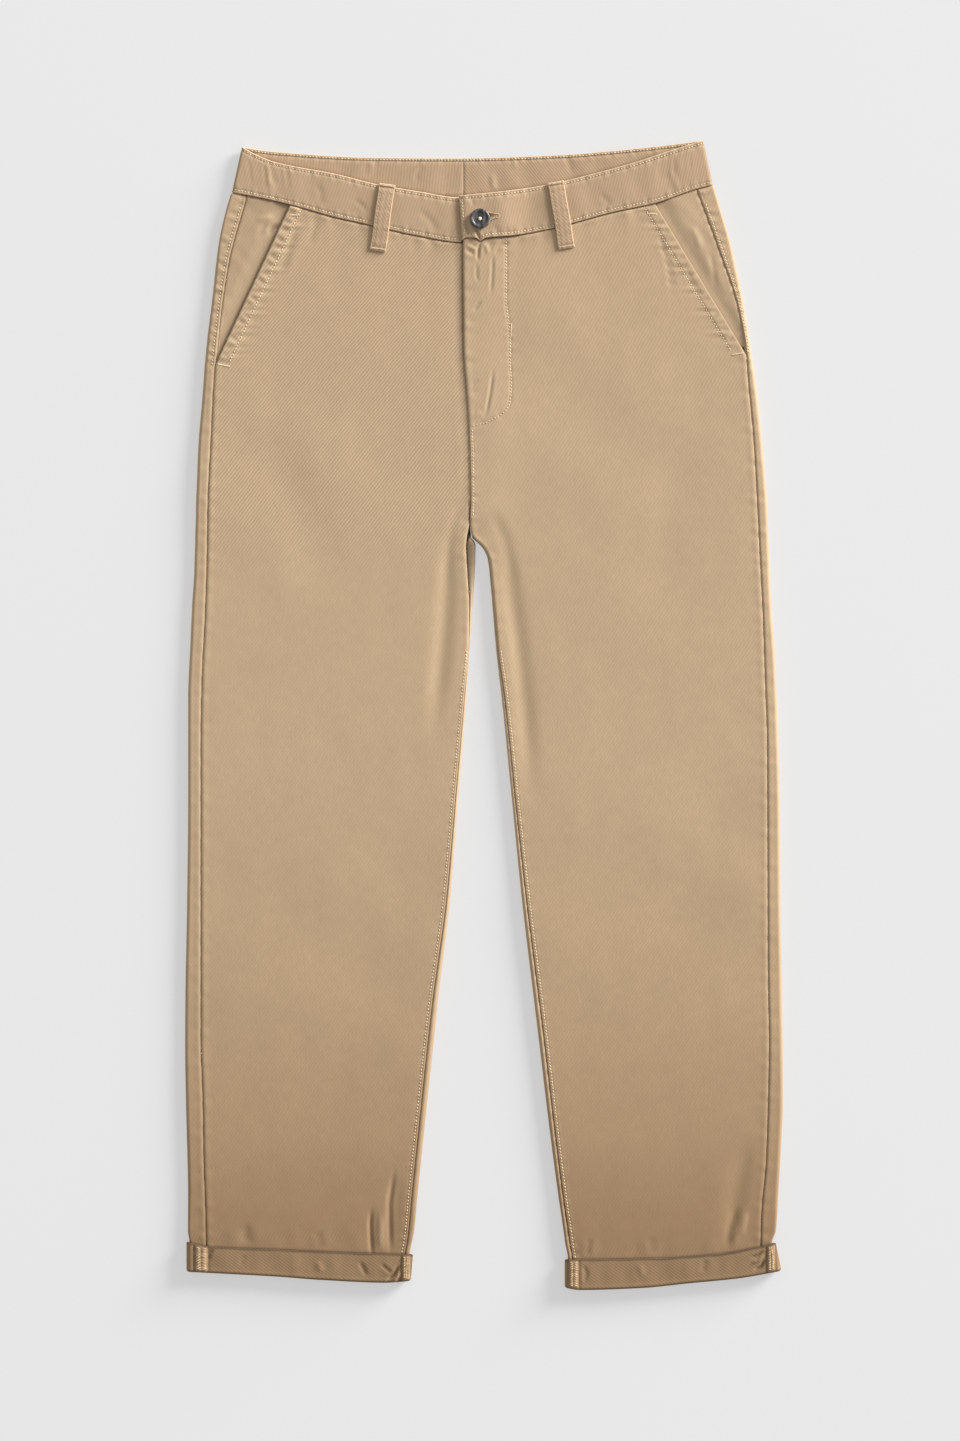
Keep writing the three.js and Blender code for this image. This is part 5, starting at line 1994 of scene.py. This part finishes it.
# Creases of the waistband's outer face, and of its inner face at the back
LEFT_BAND_CREASES = creases_of(
    (((-8.6, 439.5), (-5.6, 432), (-2.7, 424)), 1.6, -1.1),
    (((-12, 441), (-9.5, 434), (-8, 429)), 2.4, 0.5),
    (((-17.2, 447), (-15.5, 439), (-13.6, 430)), 1.6, -0.8),
    (((-11, 467), (-8, 462), (-8, 456)), 1.8, -0.4),
    (((2.6, 448.0), (5.4, 448.2), (9.2, 448.6)), 1.2, -1.2),
    (((6, 438), (16, 434), (30, 435)), 3.2, -0.25),
    (((104, 470), (112, 462), (114, 455)), 3.0, -0.2),
    (((168, 490), (172, 480), (176, 470)), 3.0, 0.2),
)
RIGHT_BAND_CREASES = creases_of(
    (((-60, 455), (-48, 444), (-40, 432)), 3.4, -0.25),
    (((-118, 464), (-110, 459), (-104, 451)), 2.4, -0.25),
    (((-150, 480), (-146, 468), (-148, 458)), 3.0, -0.2),
    (((-196, 486), (-190, 476), (-192, 467)), 3.0, 0.2),
)
LEFT_INNER_CREASES = creases_of(
    (((12.6, 488), (11.5, 480), (10.8, 471)), 2.2, 0.45),
    (((37, 508), (35, 498), (33, 490)), 2.2, 0.35),
    (((80, 505), (84, 496), (82, 487)), 2.6, -0.3),
)
RIGHT_INNER_CREASES = creases_of(
    (((-62, 496), (-66, 486), (-64, 477)), 2.4, -0.3),
    (((-112, 499), (-108, 493), (-110, 487)), 2.4, 0.3),
)


# ---- Turned-up hems ----


@dataclass
class TurnedHem:
    """Turned-up hem of one leg: a band round its end, folded in under the lower edge.

    The cloth's reverse shows. allowances are the seam allowances that lie on it: X of the
    overlocked edge and of the seam. cut and cut_area are as on the waistband.
    """

    leg: Leg
    upper_ends: Pair
    lower_ends: Pair
    allowances: tuple[Pair, ...]
    creases: tuple[Crease, ...]
    seed: float
    cut: Pair = (0.41, 0.034)
    cut_area: float = 0.0139

    # Depth under the face, share of the way down, height added, and how much unevenness shows
    TOP_EDGE = ((1.25, 0, 0.0, 0), (0.6, 0, -0.12, 0), (0.2, 0, -0.5, 0))
    LOWER_EDGE = (
        (0.15, 1, 1.3, 0.6), (0.6, 1, 0.5, 0), (1.25, 1, 0.12, 0), (2.0, 1, 0, 0),
        (2.7, 1, 0.15, 0), (3.3, 1, 0.6, 0), (3.65, 1, 1.4, 0), (3.7, 1, 2.3, 0),
        (3.3, 1, 2.8, 0), (CUFF_CLOTH, 1, 2.9, 0),
    )
    RAW_EDGE = ((2.2, 0, -0.3, 0), (1.8, 0, -0.05, 0))

    @staticmethod
    def face_raise(share: Array) -> Array:
        """Height added on the face: it stops short of the two lines, where the edges turn."""
        return 2.3 * share - 1.1 * (1 - share)

    def section(self) -> Arrays:
        """Closed section, down the face, round the lower edge and up inside.

        Returns:
            The table's four columns, each of shape (rows, 1).
        """
        face_rows = [(0.0, s, self.face_raise(s), 1) for s in np.linspace(0, 1, 20)]
        inside = [(CUFF_CLOTH, s, 3.4 * s - 0.9 * (1 - s), 0) for s in np.linspace(0.9, 0, 5)]
        rows = [*self.TOP_EDGE, *face_rows, *self.LOWER_EDGE, *inside, *self.RAW_EDGE]
        inset, share, raised, seen = (np.array(column)[:, None] for column in zip(*rows))
        return inset, share, raised, seen

    def bumps(self, x: Array, share: Array, on_top: Array) -> Array:
        """Height of the face's unevenness: allowances, slack cloth and a pressed lower edge.

        Args:
            x: X of the places.
            share: Shares of the way down.
            on_top: 1 on the face that is seen.

        Returns:
            Heights.
        """
        height = 0.34 * ripple(x, 47.0, self.seed) + 0.12 * ripple(x, 17.0, self.seed + 0.4)
        height = height * (0.35 + 0.65 * np.sin(np.pi * share))
        y = self.leg.cuff_upper(x) * (1 - share) + self.leg.cuff_lower(x) * share
        height = height + on_top * creased(x, y, self.creases)
        for low, high in map(sorted, self.allowances):
            under = smooth(low - 0.6, low + 0.6, x) * (1 - smooth(high - 0.6, high + 0.6, x))
            groove = bell(x - low + 0.9, 0.9) + bell(x - high - 0.9, 0.9)
            height = height + on_top * (0.8 * under - 0.5 * groove)
            height = height + on_top * 0.3 * ripple(share * 27, 8.0, self.seed) * under
        return height

    def ring(self, share: Array, inset: Array) -> Arrays:
        """Inner side, width and radius of the flattened tube at a share of the way down.

        Args:
            share: Share of the way down.
            inset: Depth under the face.

        Returns:
            Those three, in that order.
        """
        ends = [u + (v - u) * share for u, v in zip(self.upper_ends, self.lower_ends)]
        width = np.abs(ends[1] - ends[0]) - 2 * inset
        return ends[0], width, CUFF_RADIUS - inset

    def surface(
        self, turn: Array, share: Array, inset: Array, raised: Array, seen: Array
    ) -> Array:
        """Point of the hem.

        Args:
            turn: Way round: 0 to 1 over each quarter fold and level part in turn, 6 in all.
            share: Share of the way from the upper to the lower edge.
            inset: Depth under the face.
            raised: Height added.
            seen: How much the unevenness shows.

        Returns:
            Points.
        """
        point = self.place(turn, share, inset, raised)
        on_top = smooth(0.5, 0.9, point[..., 2] / (2 * CUFF_RADIUS))
        swell = seen * on_top * self.bumps(point[..., 0], share, on_top)
        return self.place(turn, share, inset - swell, raised)

    def place(self, turn: Array, share: Array, inset: Array, raised: Array) -> Array:
        """Point of the hem without its unevenness.

        Args:
            turn: Way round.
            share: Share of the way down.
            inset: Depth under the face.
            raised: Height added.

        Returns:
            Points.
        """
        start, width, radius = self.ring(share, inset)
        quarter, flat = math.pi * radius / 2, width - 2 * radius
        spans = [quarter, flat, quarter, quarter, flat, quarter]
        arc = sum(span * np.clip(turn - i, 0.0, 1.0) for i, span in enumerate(spans))
        d, h = tube(width, radius, arc)
        x = start + self.leg.side * (d + inset)
        upper, lower = self.leg.cuff_upper(x), self.leg.cuff_lower(x)
        wave = 0.35 * ripple(x, 31.0, self.seed + 1.1)
        y = upper + (lower - upper) * share + raised + wave * (1 - share)
        return np.stack([x, y, h + inset], -1)

    def wear_and_shade(self, points: Array, share: Array, inset: Array, seen: Array) -> Array:
        """Painted shade along the upper edge, in the grooves, inside the fold, in creases and
        round the fold at the +X end; a painted highlight round the fold at the -X end; paler on
        the allowances and near the lower fold.

        Args:
            points: Points of the hem.
            share: Shares of the way down.
            inset: Depths under the face.
            seen: How much the unevenness shows.

        Returns:
            Tones.
        """
        x, y, z = points[..., 0], points[..., 1], points[..., 2]
        on_top = z > CUFF_RADIUS
        # Paler near the lower fold; painted shade along the upper edge, inside the fold and in
        # creases
        tone = 0.35 * bell(share - 0.93, 0.05) - 1.2 * bell(share, 0.02) - 0.8 * (inset > 0.1)
        tone = tone + np.where(on_top, crease_shading(creased(x, y, self.creases)), 0.0)
        # Painted shade round the fold at the +X end, a painted highlight round the one at -X
        end_tone = np.where(x > self.leg.side * HEM_MIDDLE, -0.8, 0.6)
        tone = tone + end_tone * smooth(0.2, 1.8, 2 * CUFF_RADIUS - z)
        # Paler on the allowances, painted shade in the grooves beside them
        for low, high in map(sorted, self.allowances):
            dark = bell(x - low + 0.9, 0.8) + bell(x - high - 0.9, 0.8)
            within = smooth(low - 0.5, low + 0.5, x) * (1 - smooth(high - 0.5, high + 0.5, x))
            tone = tone + np.where(on_top & (seen > 0), 0.35 * within - 0.9 * dark, 0.0)
        return tone

    def build(self) -> None:
        """Carry the section round the leg."""
        inset, share, raised, seen = self.section()
        steps = [6, 150, 6, 6, 80, 6]
        turn = np.concatenate([i + np.arange(n) / n for i, n in enumerate(steps)])[None]
        points = self.surface(turn, share + 0 * turn, inset + 0 * turn, raised, seen)
        rows, cols = points.shape[:2]
        grid = np.arange(rows * cols).reshape(rows, cols)
        grid = np.concatenate([grid, grid[:1]])
        after = np.roll(grid, -1, axis=1)
        quads = np.stack([grid[:-1], after[:-1], after[1:], grid[1:]], -1).reshape(-1, 4)
        cloth = points[..., :2].copy()
        cloth[..., 1] += 7.0 * inset
        build_sheet(
            f"hem_twill_{self.leg.name}", f"cuff_{self.leg.name}", points, quads, REVERSE_TWILL,
            cloth, self.wear_and_shade(points, share, inset, seen), flat=self.cut, held="folded",
            rests_on=[f"back_panel_{self.leg.name}", f"front_panel_{self.leg.name}"],
            area=min(quads_area(points, quads) / 2, self.cut_area),
        )

    def on_top(self, x: Array, share: Array) -> Array:
        """Point of the face's level part at x and a share of the way down.

        Args:
            x: X of the places.
            share: Share of the way down.

        Returns:
            Points.
        """
        start, width, radius = self.ring(share, 0.0 * share)
        turn = 1 + (self.leg.side * (x - start) - radius) / (width - 2 * radius)
        return self.surface(turn, share, 0 * share, self.face_raise(share), 1 + 0 * share)

    def sew(self, thread: Stitching) -> None:
        """Overlock the allowances: threads meet in chevrons on the middle, 2 mm apart.

        Args:
            thread: Stitching that takes them.
        """
        for low, high in map(sorted, self.allowances):
            share = np.linspace(0.04, 0.90, 14)
            middle = self.on_top((low + high) / 2 + 0 * share, share + 0.07)
            for x in (low + 0.7, high - 0.7):
                thread.add_spans(self.on_top(x + 0 * share, share), middle, upwards(share))


RIGHT_HEM_CREASES = creases_of(
    (((-88, -511), (-81, -504), (-75, -493)), 1.6, -1.3),
    (((-83, -513), (-78, -507), (-75, -501)), 1.4, 1.0),
    (((-81, -514), (-77, -510), (-74, -506)), 1.3, -1.0),
    (((-93, -493), (-86, -500), (-82, -504)), 1.6, -0.7),
    (((-112, -490), (-108, -499), (-105, -507)), 2.0, -0.7),
    (((-150, -490), (-146, -503)), 3.0, 0.4),
    (((-243, -479), (-247, -484), (-248, -492)), 2.0, -0.8),
    (((-215, -484), (-219, -497)), 3.0, -0.35),
)
LEFT_HEM_CREASES = creases_of(
    (((89, -493), (92, -503), (90, -513)), 2.2, -0.5),
    (((242, -501), (249, -497), (253, -489)), 1.7, -1.3),
    (((240, -494), (247, -491), (252, -484)), 1.6, 0.9),
    (((239, -488), (246, -486), (252, -480)), 1.5, -0.8),
    (((200, -488), (196, -503)), 3.2, -0.4),
    (((140, -492), (143, -508)), 3.2, 0.35),
)


# ---- Belt loops ----


@dataclass
class BeltLoop:
    """Belt loop: a strip folded in three, turned under at both ends and barred there.

    cut and cut_area are as on the waistband.
    """

    name: str
    carried_by: str
    top: Pair
    bottom: Pair
    rest: Curve
    seed: float
    width: float = 14.6
    stitch: float = 2.4
    turned_in: float = 3.2
    cut: Pair = (0.0146, 0.061)
    cut_area: float = 0.00089

    @property
    def axis(self) -> Array:
        """Vector from the upper to the lower end."""
        return np.array([self.bottom[0] - self.top[0], self.bottom[1] - self.top[1]])

    @property
    def length(self) -> float:
        """Length from end to end."""
        return float(np.linalg.norm(self.axis))

    def surface(self, t: Array, share: Array, depth: Array, seen: Array) -> Array:
        """Point of the loop.

        Args:
            t: Share of its length from the upper end.
            share: Share of its width.
            depth: Depth under its face.
            seen: 1 on the face, -1 underneath.

        Returns:
            Points.
        """
        along = t * self.length
        across = np.array([-self.axis[1], self.axis[0]]) / self.length
        ends = np.minimum(t, 1 - t) * self.length
        away = np.minimum(share, 1 - share) * self.width
        s = (share - 0.5) * self.width + 0.25 * ripple(along, 40.0, self.seed)
        x = self.top[0] + self.axis[0] * t + across[0] * s
        y = self.top[1] + self.axis[1] * t + across[1] * s
        bumps = -0.15 * bell(away - self.stitch, 0.8)
        bumps = bumps + 0.2 * ripple(along, 6.5, self.seed) * bell(away - 2.0, 2.6)
        bumps = bumps + 0.12 * bell(away - 4.9, 2.4) - 0.5 * bell(ends - self.turned_in, 1.1)
        thin = 0.55 + 0.45 * smooth(0.0, 1.2, ends)
        upward = np.clip(seen, 0.0, 1.0)
        z = self.rest(t) + (LOOP_CLOTH - depth) * thin + upward * bumps * smooth(0, 1.0, away)
        return np.stack([x, y, z], -1)

    def build(self) -> None:
        """Carry the section along the loop."""
        share, depth, seen = strip_section(self.width, LOOP_CLOTH - 0.1, 16, 4)
        length = self.length
        tip = np.array([0, 0.5, 1.2])
        t = np.concatenate([tip, np.linspace(2.0, length - 2.0, 44), (length - tip)[::-1]])
        t = t[:, None] / length
        t, share, depth, seen = np.broadcast_arrays(t, share, depth, seen)
        cloth = np.stack([share * self.width, t * length], -1) + 311.0 * self.seed
        edge, ends = np.minimum(share, 1 - share) * self.width, np.minimum(t, 1 - t) * length
        # Paler along the edges and ends; painted shade in the stitches' grooves and at the
        # turned-under lower end
        wear_and_shade = 0.9 * bell(edge, 1.0) + 0.6 * bell(ends, 1.4)
        wear_and_shade = wear_and_shade - 0.15 * bell(edge - self.stitch, 0.9)
        wear_and_shade = wear_and_shade - 0.5 * bell((1 - t) * length - 3.4, 1.1)
        points, quads = self.surface(t, share, depth, seen), strip_faces(len(t), 16, 4)
        build_sheet(
            f"loop_twill_{self.name}", f"belt_loop_{self.name}", points, quads, LOOP_TWILL, cloth,
            wear_and_shade, flat=self.cut, held="laid", rests_on=[self.carried_by],
            area=min(quads_area(points, quads) / 2, self.cut_area),
        )

    def sew(self, thread: Stitching) -> None:
        """Two rows of stitches down the face.

        Args:
            thread: Stitching that takes the rows.
        """
        for away in (self.stitch, self.width - self.stitch):
            t = np.linspace(self.turned_in / self.length, 1 - self.turned_in / self.length, 50)
            flat = 0.0 * t
            points = self.surface(t, away / self.width + flat, flat + 0.05, 1 + flat)
            thread.add_track((points, upwards(t)), seed=self.seed + away)

    def sew_bars(self, thread: Stitching) -> None:
        """A bar across each end.

        Args:
            thread: Stitching that takes the bars.
        """
        for end in (2.1 / self.length, 1 - 2.1 / self.length):
            share = np.linspace(1.6 / self.width, 1 - 1.6 / self.width, 21)
            flat, half = 0.0 * share, 0.9 / self.length
            start = self.surface(end - half + flat, share, flat, 1 + flat)
            stop = self.surface(end + half + flat, share, flat, 1 + flat)
            thread.add_spans(start, stop, upwards(share))


# ---- Button and buttonhole ----


@dataclass
class Button:
    """Four-hole button with a raised rim, sewn on with crossed threads."""

    centre: Pair = (-3.6, 446.0)
    rest: float = BAND_FACE + BAND_LAP_LIFT + SEAM_GAP
    radius: float = 9.15
    thick: float = 3.0
    hole_ring: float = 1.75
    hole: float = 0.95
    hole_depth: float = 1.55
    turn: float = 0.5

    # Distance from the middle as a share of the radius, height as a share of the thickness
    OUTLINE = (
        (0.30, 0.00), (0.62, 0.00), (0.84, 0.06), (0.955, 0.24), (1.00, 0.50), (0.985, 0.72),
        (0.945, 0.88), (0.885, 0.975), (0.82, 1.00), (0.755, 0.965), (0.70, 0.87), (0.655, 0.76),
        (0.615, 0.70), (0.56, 0.675),
    )

    def build(self) -> None:
        """Turn the outline round the middle; the recessed floor is sunk at the four holes."""
        angle = 2 * np.pi * np.arange(72) / 72
        floor = np.linspace(0.52, 0.0005, 26)
        floor = np.stack([floor, 0.67 + 0 * floor], -1)
        outline = np.concatenate([[(0.0005, 0.0)], self.OUTLINE, floor])
        r = outline[:, :1] * self.radius + 0 * angle
        z = outline[:, 1:] * self.thick + 0 * angle
        x, y = r * np.cos(angle), r * np.sin(angle)
        on_floor = (np.arange(len(outline)) >= len(self.OUTLINE))[:, None]
        for k in range(4):
            a = self.turn + k * math.pi / 2
            hx, hy = self.hole_ring * math.cos(a), self.hole_ring * math.sin(a)
            near = 1 - smooth(self.hole * 0.7, self.hole * 1.15, np.hypot(x - hx, y - hy))
            z = z - np.where(on_floor, self.hole_depth * near, 0.0)
        points = np.stack([x + self.centre[0], y + self.centre[1], z + self.rest], -1)
        rows, cols = points.shape[:2]
        points = points.reshape(-1, 3)
        # one more point closes each pole with a fan
        k = np.arange(cols)
        nxt = (k + 1) % cols
        low, last = len(points) + 0 * k, (rows - 1) * cols
        points = np.concatenate([points, [points[:cols].mean(0), points[-cols:].mean(0)]])
        fans = (nxt, k, low, low), (last + k, last + nxt, low + 1, low + 1)
        quads = [grid_faces(rows, cols, wrap=True), *(np.stack(fan, -1) for fan in fans)]
        made = build_mesh("button_resin", points, np.concatenate(quads), HORN)
        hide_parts("button")

    def sew(self, thread: Stitching) -> None:
        """Cross the threads over the four holes, four to each pair of holes.

        Args:
            thread: Stitching that takes them.
        """
        offset = np.array([-0.62, -0.22, 0.2, 0.6])[:, None]
        for k in range(2):
            a = self.turn + k * math.pi / 2
            along = np.array([math.cos(a), math.sin(a)]) * self.hole_ring
            across = np.array([-math.sin(a), math.cos(a)])
            height = np.full(4, self.rest + 0.69 * self.thick + 0.1 * k)
            start = np.column_stack([self.centre - along + across * offset, height])
            end = np.column_stack([self.centre + along + across * (offset * 0.8), height])
            thread.add_spans(start, end, upwards(start))


@dataclass
class Buttonhole:
    """Keyhole buttonhole: close purl stitches along both lips and round the eyelet."""

    band: Waistband
    eyelet: Pair = (11.7, 448.9)
    radius: float = 1.3
    start: tuple[Pair, Pair] = ((1.5, 443.4), (1.0, 452.0))
    purl: float = 1.1

    def lips(self) -> Arrays:
        """Line along the lower lip to the eyelet, round it, and back along the upper lip.

        Returns:
            Points (x, y) of the line and the direction away from the slit there.
        """
        turn = np.linspace(-2.35, 2.35, 24)
        ring = np.array(self.eyelet) + self.radius * np.stack([np.cos(turn), np.sin(turn)], -1)
        share = np.linspace(0, 1, 24)[:, None]
        low, high = np.array(self.start[0]), np.array(self.start[1])
        lower, upper = low + (ring[0] - low) * share, ring[-1] + (high - ring[-1]) * share
        line = np.concatenate([lower[:-1], ring, upper[1:]])
        step = np.gradient(line, axis=0)
        away = np.stack([step[:, 1], -step[:, 0]], -1)
        return line, away / np.linalg.norm(away, axis=1, keepdims=True)

    def sew(self, thread: Stitching) -> None:
        """Lay close stitches across the lips.

        Args:
            thread: Stitching that takes them.
        """
        line, away = self.lips()
        steps = reached(line)
        s = np.arange(0.0, steps[-1], CLOSE_PITCH)
        at = np.stack([np.interp(s, steps, line[:, i]) for i in range(2)], -1)
        out = np.stack([np.interp(s, steps, away[:, i]) for i in range(2)], -1)
        rest = BAND_FACE + self.band.lift(at[:, 0]) + 0.25
        start = np.column_stack([at - 0.15 * out, rest])
        end = np.column_stack([at + self.purl * out, rest])
        thread.add_spans(start, end, upwards(s))


# ---- Studio ----


@dataclass(frozen=True)
class PaperSweep(Finish):
    """Matt white background paper, lit from behind so that its tone stays even."""

    colour: str = "e8e8e8"
    grey: float = 0.36
    glow: float = 0.565

    def make(self) -> bpy.types.Material:
        """Diffuse paper that gives off a share of its own tone.

        Returns:
            The material.
        """
        made, node = self.fresh()
        place = node("TexCoord", out="Object")
        # fibres, 3 mm
        fibre = node("TexNoise", {"Vector": place, "Scale": 300.0, "Detail": 2.0})
        bump = node("Bump", {"Height": fibre, "Strength": 0.05, "Distance": 0.0002})
        level = linear(self.colour)[0]
        shader = node("BsdfPrincipled", {
            "Base Color": (self.grey,) * 3 + (1.0,), "Roughness": 1.0, "Specular IOR Level": 0.0,
            "Emission Color": (level, level, level, 1.0), "Emission Strength": self.glow,
            "Normal": bump,
        })
        node("OutputMaterial", {"Surface": shader})
        return made


@dataclass
class Studio:
    """Floor, light and the camera overhead."""

    centre: Pair = (-3.6, -4.95)
    height: float = 3.506
    lens: float = 97.2
    sensor: float = 36.0
    floor_size: float = 3.0
    floor_drop: float = 0.0003
    key_power: float = 12000.0
    key_colour: tuple[float, float, float] = (1.0, 0.995, 0.985)
    key_at: tuple[float, float, float] = (16.8, 12.8, 4.8)
    key_size: float = 9.0
    fill: float = 0.45

    def build(self) -> None:
        """Make the floor, the key light, the even fill and the camera."""
        corners = self.floor_size * np.array([(-1, -1), (1, -1), (1, 1), (-1, 1)])
        mesh = bpy.data.meshes.new("floor")
        points = np.column_stack([corners, np.full(4, -self.floor_drop)])
        mesh.from_pydata(points.tolist(), [], [(0, 1, 2, 3)])
        mesh.materials.append(PaperSweep("background_paper", Slot.TWILL).material())
        floor = bpy.data.objects.new("floor", mesh)
        bpy.context.scene.collection.objects.link(floor)

        world = bpy.data.worlds.new("studio")
        bpy.context.scene.world = world
        world.use_nodes = True
        world.node_tree.nodes.clear()
        white = (1.0, 1.0, 1.0, 1.0)
        sky = add_node(world.node_tree, "Background", {"Color": white, "Strength": self.fill})
        add_node(world.node_tree, "OutputWorld", {"Surface": sky})

        lamp = bpy.data.lights.new("key", "AREA")
        lamp.shape = "DISK"
        lamp.size = self.key_size
        lamp.energy = self.key_power
        lamp.color = self.key_colour
        key = bpy.data.objects.new("key", lamp)
        key.location = self.key_at
        down = -np.array(self.key_at)
        tilt = math.acos(-down[2] / float(np.linalg.norm(down)))
        key.rotation_euler = (tilt, 0.0, math.atan2(down[1], down[0]) - math.pi / 2)
        bpy.context.scene.collection.objects.link(key)

        view = bpy.data.cameras.new("overhead")
        view.sensor_fit = "VERTICAL"
        view.sensor_height = self.sensor
        view.lens = self.lens
        view.clip_end = 20.0
        camera = bpy.data.objects.new("overhead", view)
        camera.location = (self.centre[0] * MM, self.centre[1] * MM, self.height)
        bpy.context.scene.collection.objects.link(camera)
        bpy.context.scene.camera = camera
        bpy.context.scene.view_settings.view_transform = "Standard"


# ---- The whole pair ----


@dataclass
class Trousers:
    """The pair: panels, waistband, hems, loops, button and all sewing."""

    right: Leg = RIGHT_LEG
    left: Leg = LEFT_LEG

    def build(self) -> None:
        """Build every sub-assembly in the order in which it is sewn together."""
        self.build_legs()
        self.build_hems()
        band = self.build_waist()
        self.build_loops()
        self.build_button(band)

    def build_legs(self) -> None:
        """Panels and pocket facings with their topstitching."""
        for leg, seed, cut in ((self.right, 0.3, (0.262, 0.99)), (self.left, 0.8, (0.28, 0.99))):
            front, bars = FrontPanel(leg, seed, cut), f"bartacks_pocket_{leg.name}"
            front.build()
            build_sewing(f"stitching_front_{leg.name}", THREAD, front.sew)
            build_sewing(bars, THREAD, front.sew_bars, width=0.5, sunk=0.0)
        for leg, seed in ((self.right, 1.4), (self.left, 1.9)):
            back = BackPanel(leg, seed, (0.36, 1.0))
            back.build()
            build_sewing(f"stitching_side_{leg.name}", THREAD, back.sew)
        for leg, seed in ((self.right, 2.3), (self.left, 2.7)):
            PocketFacing(leg, seed, (0.08, 0.16)).build()

    def build_hems(self) -> None:
        """Turned-up hems with the overlock on their seam allowances."""
        for hem in (
            TurnedHem(
                self.right, (-63.9, -267.8), (-65.7, -267.8), ((-259.6, -248.8), (-73.4, -66.6)),
                RIGHT_HEM_CREASES, 0.2,
            ),
            TurnedHem(
                self.left, (72.6, 262.8), (72.6, 267.4), ((76.0, 84.6), (254.8, 261.4)),
                LEFT_HEM_CREASES, 1.1,
            ),
        ):
            hem.build()
            build_sewing(f"overlock_hem_{hem.leg.name}", EDGE_THREAD, hem.sew, width=0.8)

    def build_waist(self) -> Waistband:
        """Both halves of the waistband.

        Returns:
            The lapping half.
        """
        right = Waistband(
            "right", -1, (BAND_UNDERLAP_END, BAND_UNDERLAP_END), (-227, -218), RIGHT_BAND_LOWER,
            RIGHT_BAND_UPPER, RIGHT_BAND_CREASES, RIGHT_INNER_CREASES, False, 0.5,
        )
        left = Waistband(
            "left", 1, (-19.8, LEFT_BAND_TOP), (206.3, 197.5), LEFT_BAND_LOWER, LEFT_BAND_UPPER,
            LEFT_BAND_CREASES, LEFT_INNER_CREASES, True, 1.6,
        )
        for band in (right, left):
            band.build()
            build_sewing(f"stitching_band_{band.name}", BAND_THREAD, band.sew)
        return left

    def build_loops(self) -> None:
        """Two belt loops on the front with their sewing, three on the back."""
        on_band, on_panel = BAND_FACE + SEAM_GAP, FACE + SEAM_GAP
        over_seam = Curve((
            (0, on_band), (0.08, on_band + 0.2), (0.35, on_band + 0.5), (0.6, on_band + 0.3),
            (0.7, on_band), (0.85, on_panel + 0.1), (1, on_panel),
        ))
        for side, top, foot, seed in (
            ("right", (-87, 477.5), (-95.6, 417.3), 0.6),
            ("left", (64.4, 479.6), (74.6, 419.5), 1.2),
        ):
            loop = BeltLoop(f"front_{side}", f"waistband_{side}", top, foot, over_seam, seed)
            loop.build()
            rows, bars = f"stitching_loop_front_{side}", f"bartacks_loop_front_{side}"
            build_sewing(rows, LOOP_THREAD, loop.sew, width=0.65, sunk=0.18)
            build_sewing(bars, LOOP_THREAD, loop.sew_bars, width=0.5, sunk=0.0)
        level = Curve(((0, 0.0), (0.5, 0.0), (1, 0.0)))
        for name, side, x in (
            ("right", "right", -125.0), ("centre", "right", CENTRE_BACK), ("left", "left", 90.0),
        ):
            top = float(BACK_BAND_UPPER(np.array(x))) - 0.5
            ends = (x, top), (x, top - BACK_LOOP_LENGTH)
            BeltLoop(f"back_{name}", f"waistband_{side}", *ends, level, 2.0 + x / 90).build()

    def build_button(self, band: Waistband) -> None:
        """Button, its threads and the buttonhole under it.

        Args:
            band: Half of the waistband that has the buttonhole.
        """
        button, hole = Button(), Buttonhole(band)
        button.build()
        build_sewing("button_threads", BUTTON_THREAD, button.sew, width=0.75, sunk=0.0)
        build_sewing("buttonhole_purl", PURL_THREAD, hole.sew, width=0.5, sunk=0.0)


def main() -> None:
    """Build the studio and the trousers."""
    logging.basicConfig(level=logging.INFO, format="%(name)s: %(message)s")
    Studio().build()
    Trousers().build()


if __name__ == "__main__":
    main()
